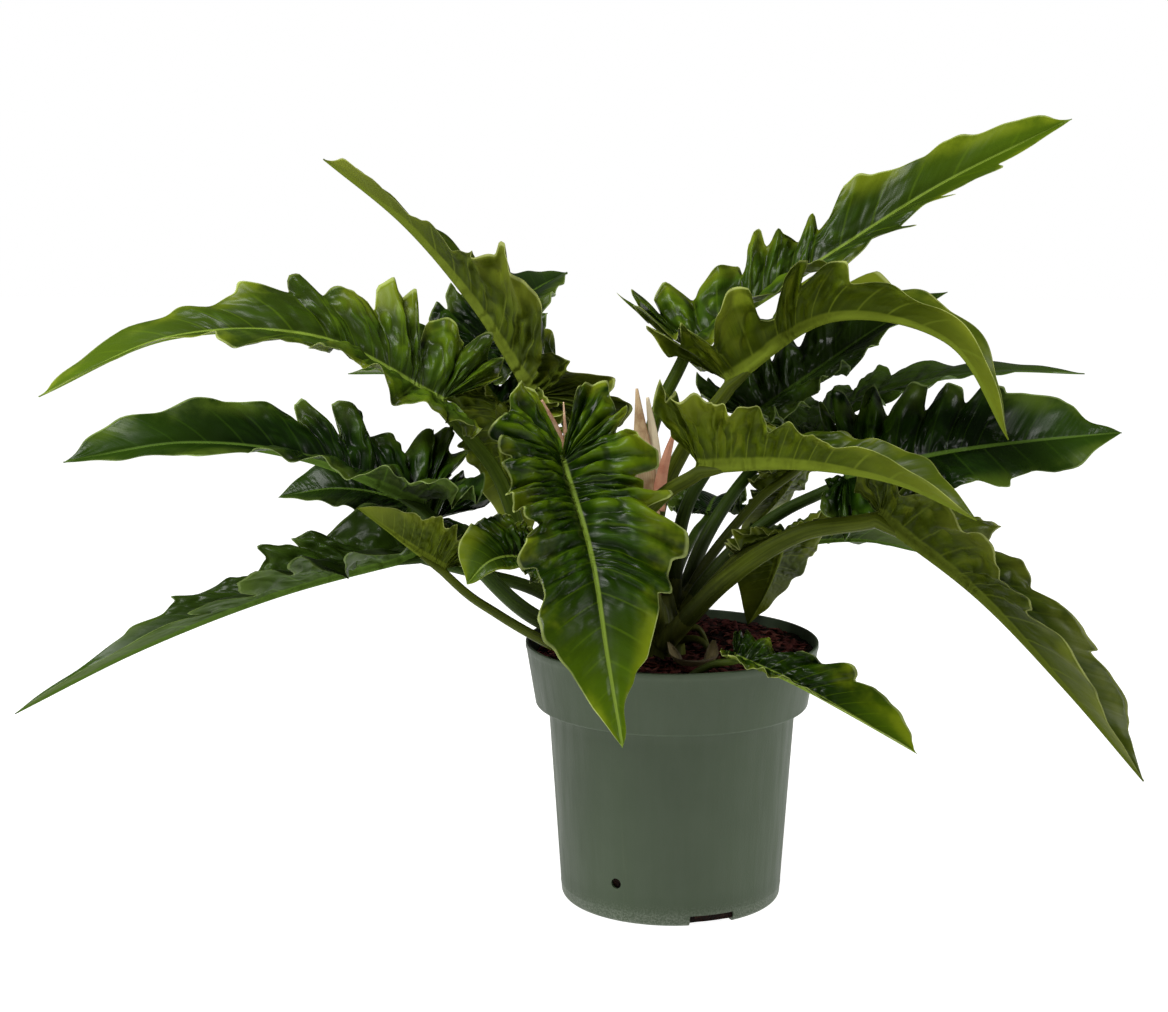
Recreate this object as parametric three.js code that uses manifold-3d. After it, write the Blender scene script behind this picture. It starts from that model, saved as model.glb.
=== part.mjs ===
// Narrow escape philodendron in a round nursery pot.
// Millimetres, +Z up. The origin is the middle of the pot's flat floor.

import * as THREE from 'three';
import { mergeVertices } from 'three/addons/utils/BufferGeometryUtils.js';
import Module from 'manifold-3d';

const wasm = await Module();
wasm.setup();

// The pot's driving dimensions
const POT_HEIGHT = 228;
const RIM_RADIUS = 127;
const COLLAR_DROP = 55.5;
const COLLAR_RADIUS = 118.6;
const NECK_RADIUS = 107.3;
const FOOT_RADIUS = 96;
const FOOT_ROUND = 5;
const COLLAR_ROUND = 3;
const WALL = 2.4;
const FLOOR = 3;
const POT_SIDES = 40;

// Drainage: low notches in the foot and round holes above them
const DRAIN_COUNT = 3;
const NOTCH_WIDTH = 40;
const NOTCH_HEIGHT = 9.5;
const NOTCH_DEPTH = 12;
const NOTCH_TURN = 22;
const HOLE_RADIUS = 4.6;
const HOLE_HEIGHT = 35;
const HOLE_TURN = -28;

// Bark potting mix
const SOIL_DROP = 16;
const SOIL_SEGMENTS = 40;
const SOIL_RINGS = [22, 46, 70, 94, 113];
const BARK_RELIEF = 3;
const FIT_GAP = 0.4;

// Leaves: thickness of the blade, and the meshes' steps
const BLADE = 0.9;
const KEEL_SHARE = 0.07;
const PETIOLE_STEPS = 4;
const STUB = 45;
const KNEE = 22;
const MIDDLE_SHARE = 0.4;
const DEEPEST_CUT = 0.42;
const JOINT_GAP = 0.3;
const CLEARANCE = 0.25;

// Steps shorter than this are closed up
const SHORTEST = 0.05;

// Dry sheaths: thickness, steps and how far round a flap is rolled
const FLAP = 0.9;
const FLAP_STEPS = 5;
const FLAP_BEND = 1.15;

// The margin of one blade half, from the notch beside the petiole to the tip.
// Behind the petiole x is a share of "back", past it a share of the midrib;
// y is a share of half the width. STARTS is where each rib leaves the midrib.
const MARGIN_X = [-0.03, -0.6, -1.0, -0.7, -0.1, 0.12, 0.26, 0.4, 0.54, 0.68, 0.84, 1.0];
const MARGIN_Y = [0.04, 0.26, 0.55, 0.95, 1.04, 1.0, 0.94, 0.84, 0.71, 0.55, 0.32, 0.0];
const STARTS = [0, 0, 0, 0, 0, 0.06, 0.16, 0.28, 0.41, 0.56, 0.76, 1.0];

// Where evenly counted lobes lie along the margin, and where a lobe's shoulders are
const LOBE_PLACES = [0, 0.125, 0.25, 0.365, 0.445, 0.53, 0.62, 0.73, 1];
const SHOULDERS = [0.3, 0.75];
const LOBE_SHIFT = 0.45;
// One wave of the margin between two notches, or more where they lie further apart
const WAVE_SPAN = 0.1;
// How steeply cuts, waves and the sweep of the ribs grow out to the margin
const CUT_POWER = 3;
const WAVE_POWER = 1.7;
const RIB_SWEEP = 1.15;
// A blade narrower than this waves less, and waves and cuts fade over this stretch
const STIFF_WIDTH = 25;
const CALM_FROM = 0.5;
const CALM_TO = 0.85;
const SLOW_WAVE = 0.8;
const SLOW_PACE = 2.3;
// The midrib's keel at base and tip, and how far the petiole's end sinks under it
const KEEL_BASE = 1.1;
const KEEL_TIP = 0.6;
const PETIOLE_SINK = 0.8;
const KNEE_SHARE = 0.5;

// One entry a leaf. "petiole" runs from the stem to the blade and "midrib" on
// to the tip; "fold" is how far each half rises, "roll" how far the blade turns
// about its midrib and "curl" how far a half bends down, each at base and tip.
// "heel" is how far the lobe behind the petiole drops, on each side. "edges" gives
// the margin of each half as places along it and how far it reaches there.
const LEAVES = [
  {"name": "leaf_upper_left",
   "petiole": [[-50, 0, 220], [-116, 2, 283], [-150, -4, 371], [-196, -20, 438]],
   "midrib": [[-196, -20, 438], [-297, -50, 494], [-414, -80, 497], [-520, -100, 450]],
   "width": 132, "back": 42, "fold": [30, 15], "roll": [-38, -5], "curl": [10, 10], "heel": [15, -10],
   "lobes": 11, "cut": 0.28, "ruffle": 7, "seed": 1, "stalk": [8, 5.5], "tone": "bright",
   "edges": [
     [[0, 1], [0.12, 0.9], [0.2, 1], [0.27, 0.8], [0.33, 1], [0.38, 0.8], [0.42, 1.05], [0.445, 1],
      [0.458, 0.6], [0.47, 1.2], [0.485, 1.12], [0.5, 1.18], [0.52, 1.12], [0.535, 0.82], [0.55, 0.97],
      [0.585, 0.95], [0.605, 0.86], [0.62, 0.98], [0.64, 1], [0.655, 0.82], [0.68, 1], [0.7, 1.03],
      [0.73, 0.86], [0.77, 0.8], [0.8, 0.9], [0.83, 0.84], [0.87, 1], [0.92, 1.25], [0.97, 1.5],
      [1, 1]],
     [[0, 1], [0.15, 0.9], [0.22, 0.75], [0.3, 0.9], [0.37, 0.7], [0.43, 0.9], [0.47, 0.75],
      [0.52, 0.88], [0.56, 0.62], [0.58, 1.25], [0.6, 1.25], [0.615, 0.6], [0.66, 0.9], [0.7, 1.2],
      [0.73, 1.15], [0.77, 0.85], [0.82, 0.75], [0.9, 0.7], [1, 1]]]},
  {"name": "leaf_mid_left",
   "petiole": [[-50, -5, 218], [-122, -38, 258], [-172, -70, 316], [-206, -92, 363]],
   "midrib": [[-206, -92, 363], [-294, -135, 406], [-384, -175, 423], [-473, -210, 413]],
   "width": 135, "back": 35, "fold": [42, 20], "roll": [-17, -32], "curl": [25, 10], "heel": [35, 35],
   "lobes": 10, "cut": 0.3, "ruffle": 7, "seed": 2, "stalk": [8, 6], "tone": "dark",
   "edges": [
     [[0, 1], [0.15, 1], [0.25, 0.9], [0.33, 1.02], [0.4, 0.98], [0.43, 0.68], [0.46, 0.72],
      [0.5, 0.76], [0.54, 0.86], [0.565, 0.96], [0.578, 0.92], [0.59, 0.5], [0.605, 0.62],
      [0.625, 0.95], [0.635, 0.92], [0.645, 0.7], [0.67, 0.76], [0.7, 0.84], [0.75, 0.93], [0.8, 1.03],
      [0.85, 0.97], [0.9, 1.22], [0.95, 1.35], [1, 1]],
     [[0, 1], [0.1, 0.9], [0.2, 0.75], [0.28, 1], [0.36, 0.8], [0.42, 1], [0.47, 0.75], [0.52, 1],
      [0.57, 0.8], [0.62, 1], [0.68, 0.85], [0.72, 1.1], [0.755, 0.8], [0.8, 1.2], [0.85, 0.9],
      [0.9, 1.05], [1, 1]]]},
  {"name": "leaf_low_left",
   "petiole": [[-50, -8, 232], [-116, -15, 273], [-168, -18, 289], [-215, -26, 307]],
   "midrib": [[-215, -26, 307], [-327, -85, 284], [-430, -142, 250], [-525, -190, 206]],
   "width": 100, "back": 55, "fold": [48, 40], "roll": [-10, 5], "curl": [25, 10], "heel": [35, -25],
   "lobes": 10, "cut": 0.3, "ruffle": 8, "seed": 3, "stalk": [6.5, 5], "tone": "dark",
   "edges": [
     [[0, 1], [0.08, 0.9], [0.16, 1], [0.22, 0.75], [0.3, 1], [0.36, 0.8], [0.4, 1], [0.44, 1.15],
      [0.48, 1.12], [0.495, 0.72], [0.51, 0.75], [0.53, 0.92], [0.55, 1.03], [0.562, 0.82], [0.58, 0.9],
      [0.61, 0.98], [0.625, 0.75], [0.65, 0.68], [0.7, 0.77], [0.73, 0.92], [0.75, 1], [0.77, 0.82],
      [0.8, 0.76], [0.83, 0.88], [0.86, 0.75], [0.92, 0.7], [1, 1]],
     [[0, 1], [0.1, 1], [0.18, 0.8], [0.25, 1.1], [0.33, 0.8], [0.4, 1.1], [0.44, 1], [0.465, 1.3],
      [0.5, 1.4], [0.52, 1.05], [0.535, 0.75], [0.55, 1.3], [0.575, 1.45], [0.595, 1.05], [0.61, 1.15],
      [0.65, 1.35], [0.665, 1.2], [0.68, 0.7], [0.71, 0.9], [0.745, 1.15], [0.76, 0.55], [0.8, 0.7],
      [0.85, 0.75], [0.92, 0.8], [1, 1]]]},
  {"name": "leaf_small_left",
   "petiole": [[-52, -6, 212], [-84, -50, 227], [-116, -85, 250], [-157, -115, 284], [-185, -126, 314]],
   "midrib": [[-185, -126, 314], [-208, -130, 330], [-231, -130, 347], [-256, -126, 364]],
   "width": 80, "back": 20, "fold": [60, 45], "roll": [20, 20], "curl": [20, 10], "heel": [10, 10],
   "lobes": 6, "cut": 0.15, "ruffle": 4, "seed": 4, "stalk": [5, 3.5], "tone": "olive"},
  {"name": "leaf_shaded_left",
   "petiole": [[-50, 10, 240], [-121, 38, 281], [-168, 58, 304], [-209, 66, 320]],
   "midrib": [[-209, 66, 320], [-255, 64, 341], [-301, 60, 348], [-350, 54, 341]],
   "width": 120, "back": 40, "fold": [20, 20], "roll": [-30, -30], "curl": [20, 10], "heel": [15, 15],
   "lobes": 7, "cut": 0.25, "ruffle": 5, "seed": 5, "stalk": [5.5, 4], "tone": "dark"},
  {"name": "leaf_tall_left",
   "petiole": [[-42, 12, 235], [-72, 30, 317], [-95, 48, 379], [-121, 60, 431]],
   "midrib": [[-121, 60, 431], [-175, 95, 507], [-242, 135, 577], [-322, 175, 635]],
   "width": 124, "back": 85, "fold": [45, 50], "roll": [30, 20], "curl": [15, 10], "heel": [10, 25],
   "lobes": 10, "cut": 0.2, "ruffle": 6, "seed": 6, "stalk": [8, 6], "tone": "olive",
   "edges": [
     [[0, 1], [0.1, 0.9], [0.17, 0.7], [0.24, 0.9], [0.3, 0.7], [0.37, 0.9], [0.43, 0.65], [0.5, 0.85],
      [0.55, 0.7], [0.6, 0.85], [0.66, 0.7], [0.72, 0.6], [0.78, 0.65], [0.81, 0.6], [0.85, 0.4],
      [0.9, 0.7], [0.95, 1.2], [1, 1]],
     [[0, 1], [0.1, 0.95], [0.2, 1], [0.27, 0.95], [0.3, 1.02], [0.35, 1], [0.4, 0.96], [0.43, 0.74],
      [0.445, 0.8], [0.47, 1.05], [0.52, 1.2], [0.57, 1.35], [0.585, 1.33], [0.6, 1.1], [0.65, 0.9],
      [0.7, 0.66], [0.74, 0.5], [0.77, 0.55], [0.8, 0.6], [0.825, 0.5], [0.85, 0.42], [0.88, 0.55],
      [0.91, 0.9], [0.95, 1.4], [1, 1]]]},
  {"name": "leaf_back_left",
   "petiole": [[-38, 14, 240], [-72, 76, 342], [-112, 132, 425], [-182, 165, 459]],
   "midrib": [[-182, 165, 459], [-162, 225, 490], [-131, 295, 508], [-106, 355, 518]],
   "width": 110, "back": 50, "fold": [20, 30], "roll": [20, 0], "curl": [20, 10], "heel": [10, 10],
   "lobes": 7, "cut": 0.2, "ruffle": 6, "seed": 7, "stalk": [7, 5], "tone": "dark"},
  {"name": "leaf_inner_left",
   "petiole": [[-44, 20, 245], [-95, 58, 327], [-119, 82, 372], [-142, 100, 396]],
   "midrib": [[-142, 100, 396], [-193, 128, 427], [-248, 158, 439], [-303, 178, 437]],
   "width": 115, "back": 15, "fold": [20, 25], "roll": [-5, -5], "curl": [20, 10], "heel": [10, 10],
   "lobes": 7, "cut": 0.3, "ruffle": 6, "seed": 8, "stalk": [6.5, 4.5], "tone": "dark"},
  {"name": "leaf_pale_back",
   "petiole": [[-50, 10, 238], [-102, 12, 338], [-135, 10, 410], [-148, 8, 431]],
   "midrib": [[-148, 8, 431], [-149, 34, 388], [-142, 52, 341], [-130, 62, 299]],
   "width": 105, "back": 15, "fold": [10, 20], "roll": [0, 0], "curl": [20, 10], "heel": [0, 0],
   "lobes": 6, "cut": 0.35, "ruffle": 6, "seed": 9, "stalk": [6, 4.8], "tone": "olive"},
  {"name": "leaf_front",
   "petiole": [[-48, -10, 230], [-72, -35, 300], [-84, -50, 350], [-92, -62, 392]],
   "midrib": [[-92, -62, 392], [-66, -130, 326], [-51, -185, 255], [-38, -225, 193]],
   "width": 158, "back": 70, "fold": [42, 5], "roll": [-8, 0], "curl": [30, 20], "heel": [0, 0],
   "lobes": 9, "cut": 0.28, "ruffle": 7, "seed": 10, "stalk": [8, 6], "tone": "bright",
   "edges": [
     [[0, 1], [0.08, 0.85], [0.15, 1], [0.2, 0.88], [0.25, 0.82], [0.27, 0.72], [0.31, 0.8], [0.365, 1],
      [0.385, 0.84], [0.42, 1.05], [0.44, 0.86], [0.46, 1.05], [0.49, 0.88], [0.51, 1], [0.545, 0.92],
      [0.575, 0.98], [0.595, 0.7], [0.615, 0.95], [0.645, 1.12], [0.66, 1.08], [0.675, 0.88],
      [0.73, 0.94], [0.765, 1.12], [0.8, 1.19], [0.83, 1.08], [0.87, 1], [0.93, 0.95], [1, 1]],
     [[0, 1], [0.1, 0.85], [0.16, 0.95], [0.21, 1.04], [0.25, 0.8], [0.28, 0.76], [0.305, 0.8],
      [0.33, 0.62], [0.36, 0.68], [0.4, 0.8], [0.43, 0.97], [0.45, 0.97], [0.468, 0.7], [0.5, 0.76],
      [0.52, 0.74], [0.54, 1], [0.555, 0.76], [0.58, 0.92], [0.6, 1.14], [0.63, 1.16], [0.655, 1],
      [0.68, 0.98], [0.715, 1.03], [0.728, 0.87], [0.76, 0.9], [0.8, 0.89], [0.85, 0.88], [0.9, 0.68],
      [0.95, 0.45], [1, 1]]]},
  {"name": "leaf_little_front",
   "petiole": [[-50, -18, 225], [-78, -75, 262], [-100, -108, 296], [-115, -128, 320]],
   "midrib": [[-115, -128, 320], [-130, -149, 329], [-147, -166, 327], [-163, -174, 311]],
   "width": 92, "back": 18, "fold": [15, 15], "roll": [-45, -25], "curl": [30, 10], "heel": [0, 0],
   "lobes": 6, "cut": 0.1, "ruffle": 3, "seed": 11, "stalk": [4, 3], "tone": "bright",
   "edges": [
     [[0, 1], [0.15, 0.8], [0.28, 0.9], [0.38, 0.7], [0.48, 0.8], [0.6, 1], [0.75, 1.15], [0.88, 1.2],
      [1, 1]],
     [[0, 1], [0.15, 0.7], [0.3, 0.65], [0.45, 0.55], [0.6, 0.62], [0.75, 0.6], [0.9, 0.55], [1, 1]]]},
  {"name": "leaf_upper_right",
   "petiole": [[-5, 15, 240], [-30, 48, 336], [-18, 72, 405], [10, 95, 473]],
   "midrib": [[10, 95, 473], [124, 115, 543], [235, 132, 613], [354, 150, 672]],
   "width": 130, "back": 45, "fold": [32, 25], "roll": [12, 50], "curl": [15, 5], "heel": [55, 55],
   "lobes": 11, "cut": 0.3, "ruffle": 8, "seed": 12, "stalk": [8, 5.5], "tone": "bright",
   "edges": [
     [[0, 1], [0.08, 0.9], [0.15, 0.7], [0.22, 1], [0.3, 0.75], [0.36, 1], [0.42, 0.75], [0.48, 0.95],
      [0.54, 0.75], [0.6, 0.9], [0.64, 0.75], [0.69, 0.85], [0.735, 1.05], [0.748, 0.75], [0.78, 0.86],
      [0.812, 1.02], [0.823, 0.7], [0.85, 0.86], [0.877, 1.12], [0.9, 0.78], [0.94, 0.75], [1, 1]],
     [[0, 1], [0.08, 0.9], [0.14, 0.75], [0.2, 1], [0.26, 0.75], [0.32, 1], [0.37, 0.7], [0.41, 0.95],
      [0.44, 0.75], [0.47, 0.8], [0.5, 0.82], [0.52, 0.84], [0.535, 0.62], [0.548, 0.85], [0.565, 0.97],
      [0.58, 0.72], [0.6, 0.82], [0.615, 0.68], [0.635, 0.62], [0.65, 0.8], [0.658, 0.8], [0.672, 0.58],
      [0.69, 0.62], [0.702, 0.97], [0.72, 1.03], [0.75, 0.94], [0.8, 0.87], [0.825, 0.87],
      [0.842, 1.05], [0.86, 1.12], [0.885, 1.04], [0.92, 1.2], [0.96, 1.45], [1, 1]]]},
  {"name": "leaf_young_right",
   "petiole": [[-8, 5, 245], [-14, 18, 332], [12, 14, 398], [46, 8, 452]],
   "midrib": [[46, 8, 452], [131, -25, 510], [224, -65, 495], [272, -95, 418]],
   "width": 126, "back": 48, "fold": [50, 42], "roll": [-15, -15], "curl": [25, 10], "heel": [45, 40],
   "lobes": 10, "cut": 0.36, "ruffle": 9, "seed": 13, "stalk": [8, 6], "tone": "olive",
   "edges": [
     [[0, 1], [0.1, 1], [0.18, 0.8], [0.25, 1], [0.32, 0.75], [0.38, 0.9], [0.42, 0.6], [0.46, 0.85],
      [0.49, 1], [0.525, 1], [0.54, 0.55], [0.57, 0.5], [0.585, 1], [0.6, 1.1], [0.612, 0.7],
      [0.63, 0.9], [0.655, 0.95], [0.68, 0.78], [0.72, 0.8], [0.78, 0.8], [0.85, 0.85], [1, 1]],
     [[0, 1], [0.1, 1], [0.2, 0.85], [0.27, 0.85], [0.31, 0.75], [0.34, 0.98], [0.37, 0.9],
      [0.395, 1.36], [0.43, 1.45], [0.455, 0.8], [0.475, 0.55], [0.49, 0.5], [0.505, 1], [0.525, 1.55],
      [0.545, 1.55], [0.56, 1.15], [0.58, 1.1], [0.6, 1.25], [0.63, 1.3], [0.655, 1.28], [0.668, 1.02],
      [0.7, 1.06], [0.75, 1.03], [0.8, 0.98], [0.87, 1], [1, 1]]]},
  {"name": "leaf_behind_young",
   "petiole": [[0, 18, 240], [8, 35, 325], [34, 48, 375], [66, 62, 412]],
   "midrib": [[66, 62, 412], [126, 105, 449], [190, 155, 486], [253, 200, 513]],
   "width": 95, "back": 30, "fold": [35, 25], "roll": [20, 15], "curl": [20, 10], "heel": [30, 30],
   "lobes": 9, "cut": 0.3, "ruffle": 7, "seed": 14, "stalk": [7, 5], "tone": "dark"},
  {"name": "leaf_near_right",
   "petiole": [[-10, -8, 240], [-28, -40, 327], [-8, -58, 365], [22, -72, 391]],
   "midrib": [[22, -72, 391], [100, -118, 400], [173, -168, 395], [233, -215, 373]],
   "width": 125, "back": 32, "fold": [62, 45], "roll": [-10, 0], "curl": [20, 10], "heel": [30, 30],
   "lobes": 9, "cut": 0.22, "ruffle": 6, "seed": 15, "stalk": [8, 6], "tone": "olive",
   "edges": [
     [[0, 1], [0.1, 0.95], [0.2, 1], [0.27, 1.05], [0.32, 0.95], [0.36, 1], [0.4, 1.15], [0.43, 1.22],
      [0.455, 0.98], [0.49, 0.95], [0.505, 0.84], [0.52, 0.95], [0.55, 0.86], [0.6, 0.66], [0.64, 0.78],
      [0.68, 0.8], [0.71, 0.6], [0.75, 0.57], [0.79, 0.76], [0.85, 0.88], [0.9, 1], [1, 1]],
     [[0, 1], [0.1, 0.8], [0.16, 0.65], [0.22, 0.8], [0.28, 0.6], [0.34, 0.75], [0.4, 0.55],
      [0.45, 0.65], [0.5, 0.5], [0.55, 0.62], [0.6, 0.5], [0.65, 0.62], [0.7, 0.78], [0.73, 0.72],
      [0.77, 0.82], [0.82, 0.9], [0.86, 1.02], [0.9, 0.95], [1, 1]]]},
  {"name": "leaf_far_right",
   "petiole": [[2, 15, 235], [25, 65, 296], [63, 105, 350], [112, 140, 394]],
   "midrib": [[112, 140, 394], [196, 165, 425], [289, 185, 441], [381, 195, 438]],
   "width": 100, "back": 35, "fold": [15, 10], "roll": [5, 5], "curl": [20, 10], "heel": [10, 10],
   "lobes": 9, "cut": 0.25, "ruffle": 6, "seed": 16, "stalk": [7, 5], "tone": "dark"},
  {"name": "leaf_flat_right",
   "petiole": [[2, 8, 230], [28, 18, 275], [80, 28, 325], [150, 30, 366]],
   "midrib": [[150, 30, 366], [225, 18, 388], [303, 5, 402], [379, -10, 412]],
   "width": 172, "back": 30, "fold": [12, 10], "roll": [42, 45], "curl": [20, 10], "heel": [30, 10],
   "lobes": 9, "cut": 0.28, "ruffle": 6, "seed": 17, "stalk": [7, 5], "tone": "dark",
   "edges": [
     [[0, 1], [0.1, 0.85], [0.16, 0.6], [0.22, 0.9], [0.28, 0.65], [0.34, 0.9], [0.39, 0.6],
      [0.45, 0.85], [0.5, 0.6], [0.56, 0.8], [0.6, 0.55], [0.63, 0.62], [0.65, 0.6], [0.67, 0.66],
      [0.71, 0.72], [0.75, 0.9], [0.77, 0.92], [0.79, 0.78], [0.83, 0.82], [0.87, 1.05], [0.91, 1.18],
      [0.95, 1.1], [1, 1]],
     [[0, 1], [0.08, 0.9], [0.13, 0.65], [0.2, 0.95], [0.26, 0.65], [0.32, 0.95], [0.36, 0.7],
      [0.41, 1], [0.44, 0.75], [0.48, 1], [0.52, 0.7], [0.56, 1], [0.6, 0.98], [0.615, 0.66],
      [0.64, 0.9], [0.68, 0.93], [0.7, 0.76], [0.72, 1], [0.76, 1.07], [0.775, 0.99], [0.82, 1],
      [0.87, 1.1], [0.9, 1.03], [0.95, 0.78], [1, 1]]]},
  {"name": "leaf_long_right",
   "petiole": [[-8, -12, 225], [44, -50, 290], [103, -72, 334], [170, -90, 355]],
   "midrib": [[170, -90, 355], [247, -130, 298], [313, -160, 230], [375, -180, 157]],
   "width": 122, "back": 42, "fold": [50, 40], "roll": [-10, 0], "curl": [20, 10], "heel": [-20, 10],
   "lobes": 9, "cut": 0.22, "ruffle": 6, "seed": 18, "stalk": [9, 7], "tone": "olive",
   "edges": [
     [[0, 1], [0.08, 0.9], [0.15, 0.75], [0.22, 0.95], [0.3, 0.8], [0.38, 1], [0.44, 1.05], [0.48, 1.2],
      [0.52, 1.3], [0.54, 1.08], [0.56, 1.02], [0.6, 1.02], [0.63, 0.94], [0.66, 1.15], [0.675, 1.15],
      [0.688, 0.98], [0.72, 1.1], [0.76, 1.25], [0.79, 1.35], [0.82, 1.25], [0.86, 1.1], [0.92, 1],
      [1, 1]],
     [[0, 1], [0.08, 0.85], [0.15, 0.7], [0.22, 0.9], [0.28, 0.7], [0.35, 0.9], [0.4, 0.75],
      [0.45, 0.95], [0.5, 1.05], [0.525, 1.18], [0.545, 0.95], [0.56, 0.72], [0.58, 0.9], [0.62, 0.9],
      [0.65, 0.9], [0.67, 0.84], [0.7, 1.02], [0.75, 1.2], [0.78, 1.3], [0.79, 1.15], [0.83, 1.28],
      [0.87, 1.4], [0.9, 1.3], [0.93, 1.08], [1, 1]]]},
  {"name": "leaf_grey_right",
   "petiole": [[0, 12, 225], [28, 60, 256], [59, 85, 274], [90, 100, 286]],
   "midrib": [[90, 100, 286], [133, 105, 295], [179, 108, 295], [221, 112, 285]],
   "width": 80, "back": 30, "fold": [20, 20], "roll": [-30, -30], "curl": [20, 10], "heel": [10, 10],
   "lobes": 6, "cut": 0.15, "ruffle": 4, "seed": 19, "stalk": [5, 3.5], "tone": "dark"},
  {"name": "leaf_under_right",
   "petiole": [[0, 16, 240], [32, 45, 290], [75, 72, 338], [112, 92, 368]],
   "midrib": [[112, 92, 368], [102, 118, 342], [84, 138, 314], [62, 150, 290]],
   "width": 80, "back": 20, "fold": [10, 20], "roll": [0, 0], "curl": [20, 10], "heel": [0, 0],
   "lobes": 6, "cut": 0.15, "ruffle": 4, "seed": 22, "stalk": [5, 4], "tone": "olive"},
  {"name": "leaf_back_right",
   "petiole": [[-5, 25, 238], [5, 80, 272], [20, 130, 296], [32, 175, 306]],
   "midrib": [[32, 175, 306], [38, 220, 312], [44, 265, 308], [50, 305, 294]],
   "width": 75, "back": 20, "fold": [25, 20], "roll": [0, 0], "curl": [20, 10], "heel": [10, 10],
   "lobes": 7, "cut": 0.2, "ruffle": 5, "seed": 23, "stalk": [5, 4], "tone": "dark"},
  {"name": "leaf_soil_right", "stub": 0,
   "petiole": [[8, -84, 180], [12, -92, 212], [32, -104, 230], [52, -113, 238]],
   "midrib": [[52, -113, 240], [95, -131, 225], [142, -146, 202], [198, -156, 171]],
   "width": 60, "back": 12, "fold": [38, 35], "roll": [28, 10], "curl": [20, 10], "heel": [10, 10],
   "lobes": 7, "cut": 0.35, "ruffle": 5, "seed": 20, "stalk": [4, 3], "tone": "bright",
   "edges": [
     [[0, 1], [0.1, 0.8], [0.17, 0.6], [0.25, 0.8], [0.32, 0.5], [0.4, 0.75], [0.45, 0.5], [0.5, 0.7],
      [0.53, 0.65], [0.57, 0.35], [0.65, 0.4], [0.75, 0.35], [0.85, 0.4], [1, 1]],
     [[0, 1], [0.08, 0.9], [0.16, 0.7], [0.25, 0.75], [0.33, 0.6], [0.4, 0.72], [0.43, 0.62],
      [0.46, 0.78], [0.51, 0.58], [0.55, 0.85], [0.6, 1.15], [0.66, 1.5], [0.69, 1.5], [0.72, 1.3],
      [0.76, 1.55], [0.8, 1.7], [0.85, 1.75], [0.89, 1.7], [0.93, 1.7], [0.97, 1.5], [1, 1]]]},
  {"name": "leaf_low_olive",
   "petiole": [[-2, -2, 228], [25, -6, 267], [60, -12, 306], [95, -12, 324]],
   "midrib": [[95, -12, 324], [92, 18, 296], [82, 38, 262], [67, 48, 230]],
   "width": 95, "back": 8, "fold": [10, 20], "roll": [0, 0], "curl": [20, 10], "heel": [0, 0],
   "lobes": 7, "cut": 0.12, "ruffle": 5, "seed": 21, "stalk": [5, 4], "tone": "olive"},
];

// Dry sheaths: pointed flaps that open to one side, most on a stalk
const SHEATHS = [
  { name: 'sheath_left',
    stalk: [[-58, -6, 250], [-72, -12, 325], [-92, -20, 384]], radii: [4, 5, 6],
    flaps: [
      { points: [[-91, -19, 374], [-99, -24, 412], [-111, -27, 440]],
        widths: [14, 10, 1.5], open: [0.5, -0.8, 0] },
      { points: [[-92, -18, 376], [-92, -22, 410], [-93, -26, 438]],
        widths: [12, 7, 1.5], open: [-0.8, -0.4, 0] }] },
  { name: 'sheath_right',
    stalk: [[-14, -4, 258], [-20, -10, 308], [-21, -16, 350]], radii: [6, 7, 9],
    flaps: [
      { points: [[-22, -17, 335], [-26, -18, 395], [-31, -18, 449]],
        widths: [24, 18, 1.5], open: [0.2, 1, 0] },
      { points: [[-19, -12, 345], [-16, -13, 395], [-22, -14, 441]],
        widths: [16, 12, 1.5], open: [0, 1, 0] },
      { points: [[-14, -20, 346], [-8, -24, 382], [1, -27, 414]],
        widths: [15, 10, 1.5], open: [0.3, 1, 0] }] },
  { name: 'sheath_curled',
    flaps: [
      { points: [[-3, -30, 232.5], [8, -44, 220.5], [31, -40, 220.5], [36, -26, 233.5]],
        widths: [3, 15, 17, 3], open: [0, 0.3, 1] }] },
];

// The stems, from down in the mix to the growing points, and roots over the bark
const STEMS = [
  { points: [[-28, 3, 150], [-44, 1, 205], [-52, -2, 262]], radii: [13, 19, 11] },
  { points: [[-22, 4, 150], [-8, 4, 205], [-10, 2, 268]], radii: [13, 20, 11] },
  { points: [[-4, 4, 230], [22, 8, 236], [36, 10, 205]], radii: [4, 3, 2] },
  { points: [[-4, 0, 224], [24, -12, 230], [42, -18, 203]], radii: [4, 3, 2] },
];

const POT_GREEN = 0x5a6b5c;
const BARK_BROWN = 0x3a1d16;
const STEM_GREEN = 0x6a6a32;
const SHEATH_TAN = 0xb98a6a;
const TONES = {
  bright: 0x3f6b1c,
  dark: 0x1f3a17,
  olive: 0x5c6b1e,
};

const degrees = Math.PI / 180;

// A repeatable number from 0 to 1
function chance(index, seed) {
  const value = Math.sin(index * 12.9898 + seed * 78.233) * 43758.5453;
  return value - Math.floor(value);
}

function mix(a, b, share) {
  return a + (b - a) * share;
}

function smoothstep(value, low, high) {
  return THREE.MathUtils.smoothstep(value, low, high);
}

// A smooth curve through evenly spaced values
function smooth(values, share) {
  const last = values.length - 1;
  const place = Math.min(Math.max(share, 0), 1) * last;
  const i = Math.min(Math.floor(place), last - 1);
  const f = place - i;
  const before = i > 0 ? values[i - 1] : 2 * values[0] - values[1];
  const after = i < last - 1 ? values[i + 2] : 2 * values[last] - values[last - 1];
  const a = values[i];
  const b = values[i + 1];
  const slopeA = (b - before) / 2;
  const slopeB = (after - a) / 2;
  const f2 = f * f;
  const f3 = f2 * f;
  return a * (2 * f3 - 3 * f2 + 1) + slopeA * (f3 - 2 * f2 + f) + b * (3 * f2 - 2 * f3) + slopeB * (f3 - f2);
}

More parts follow.
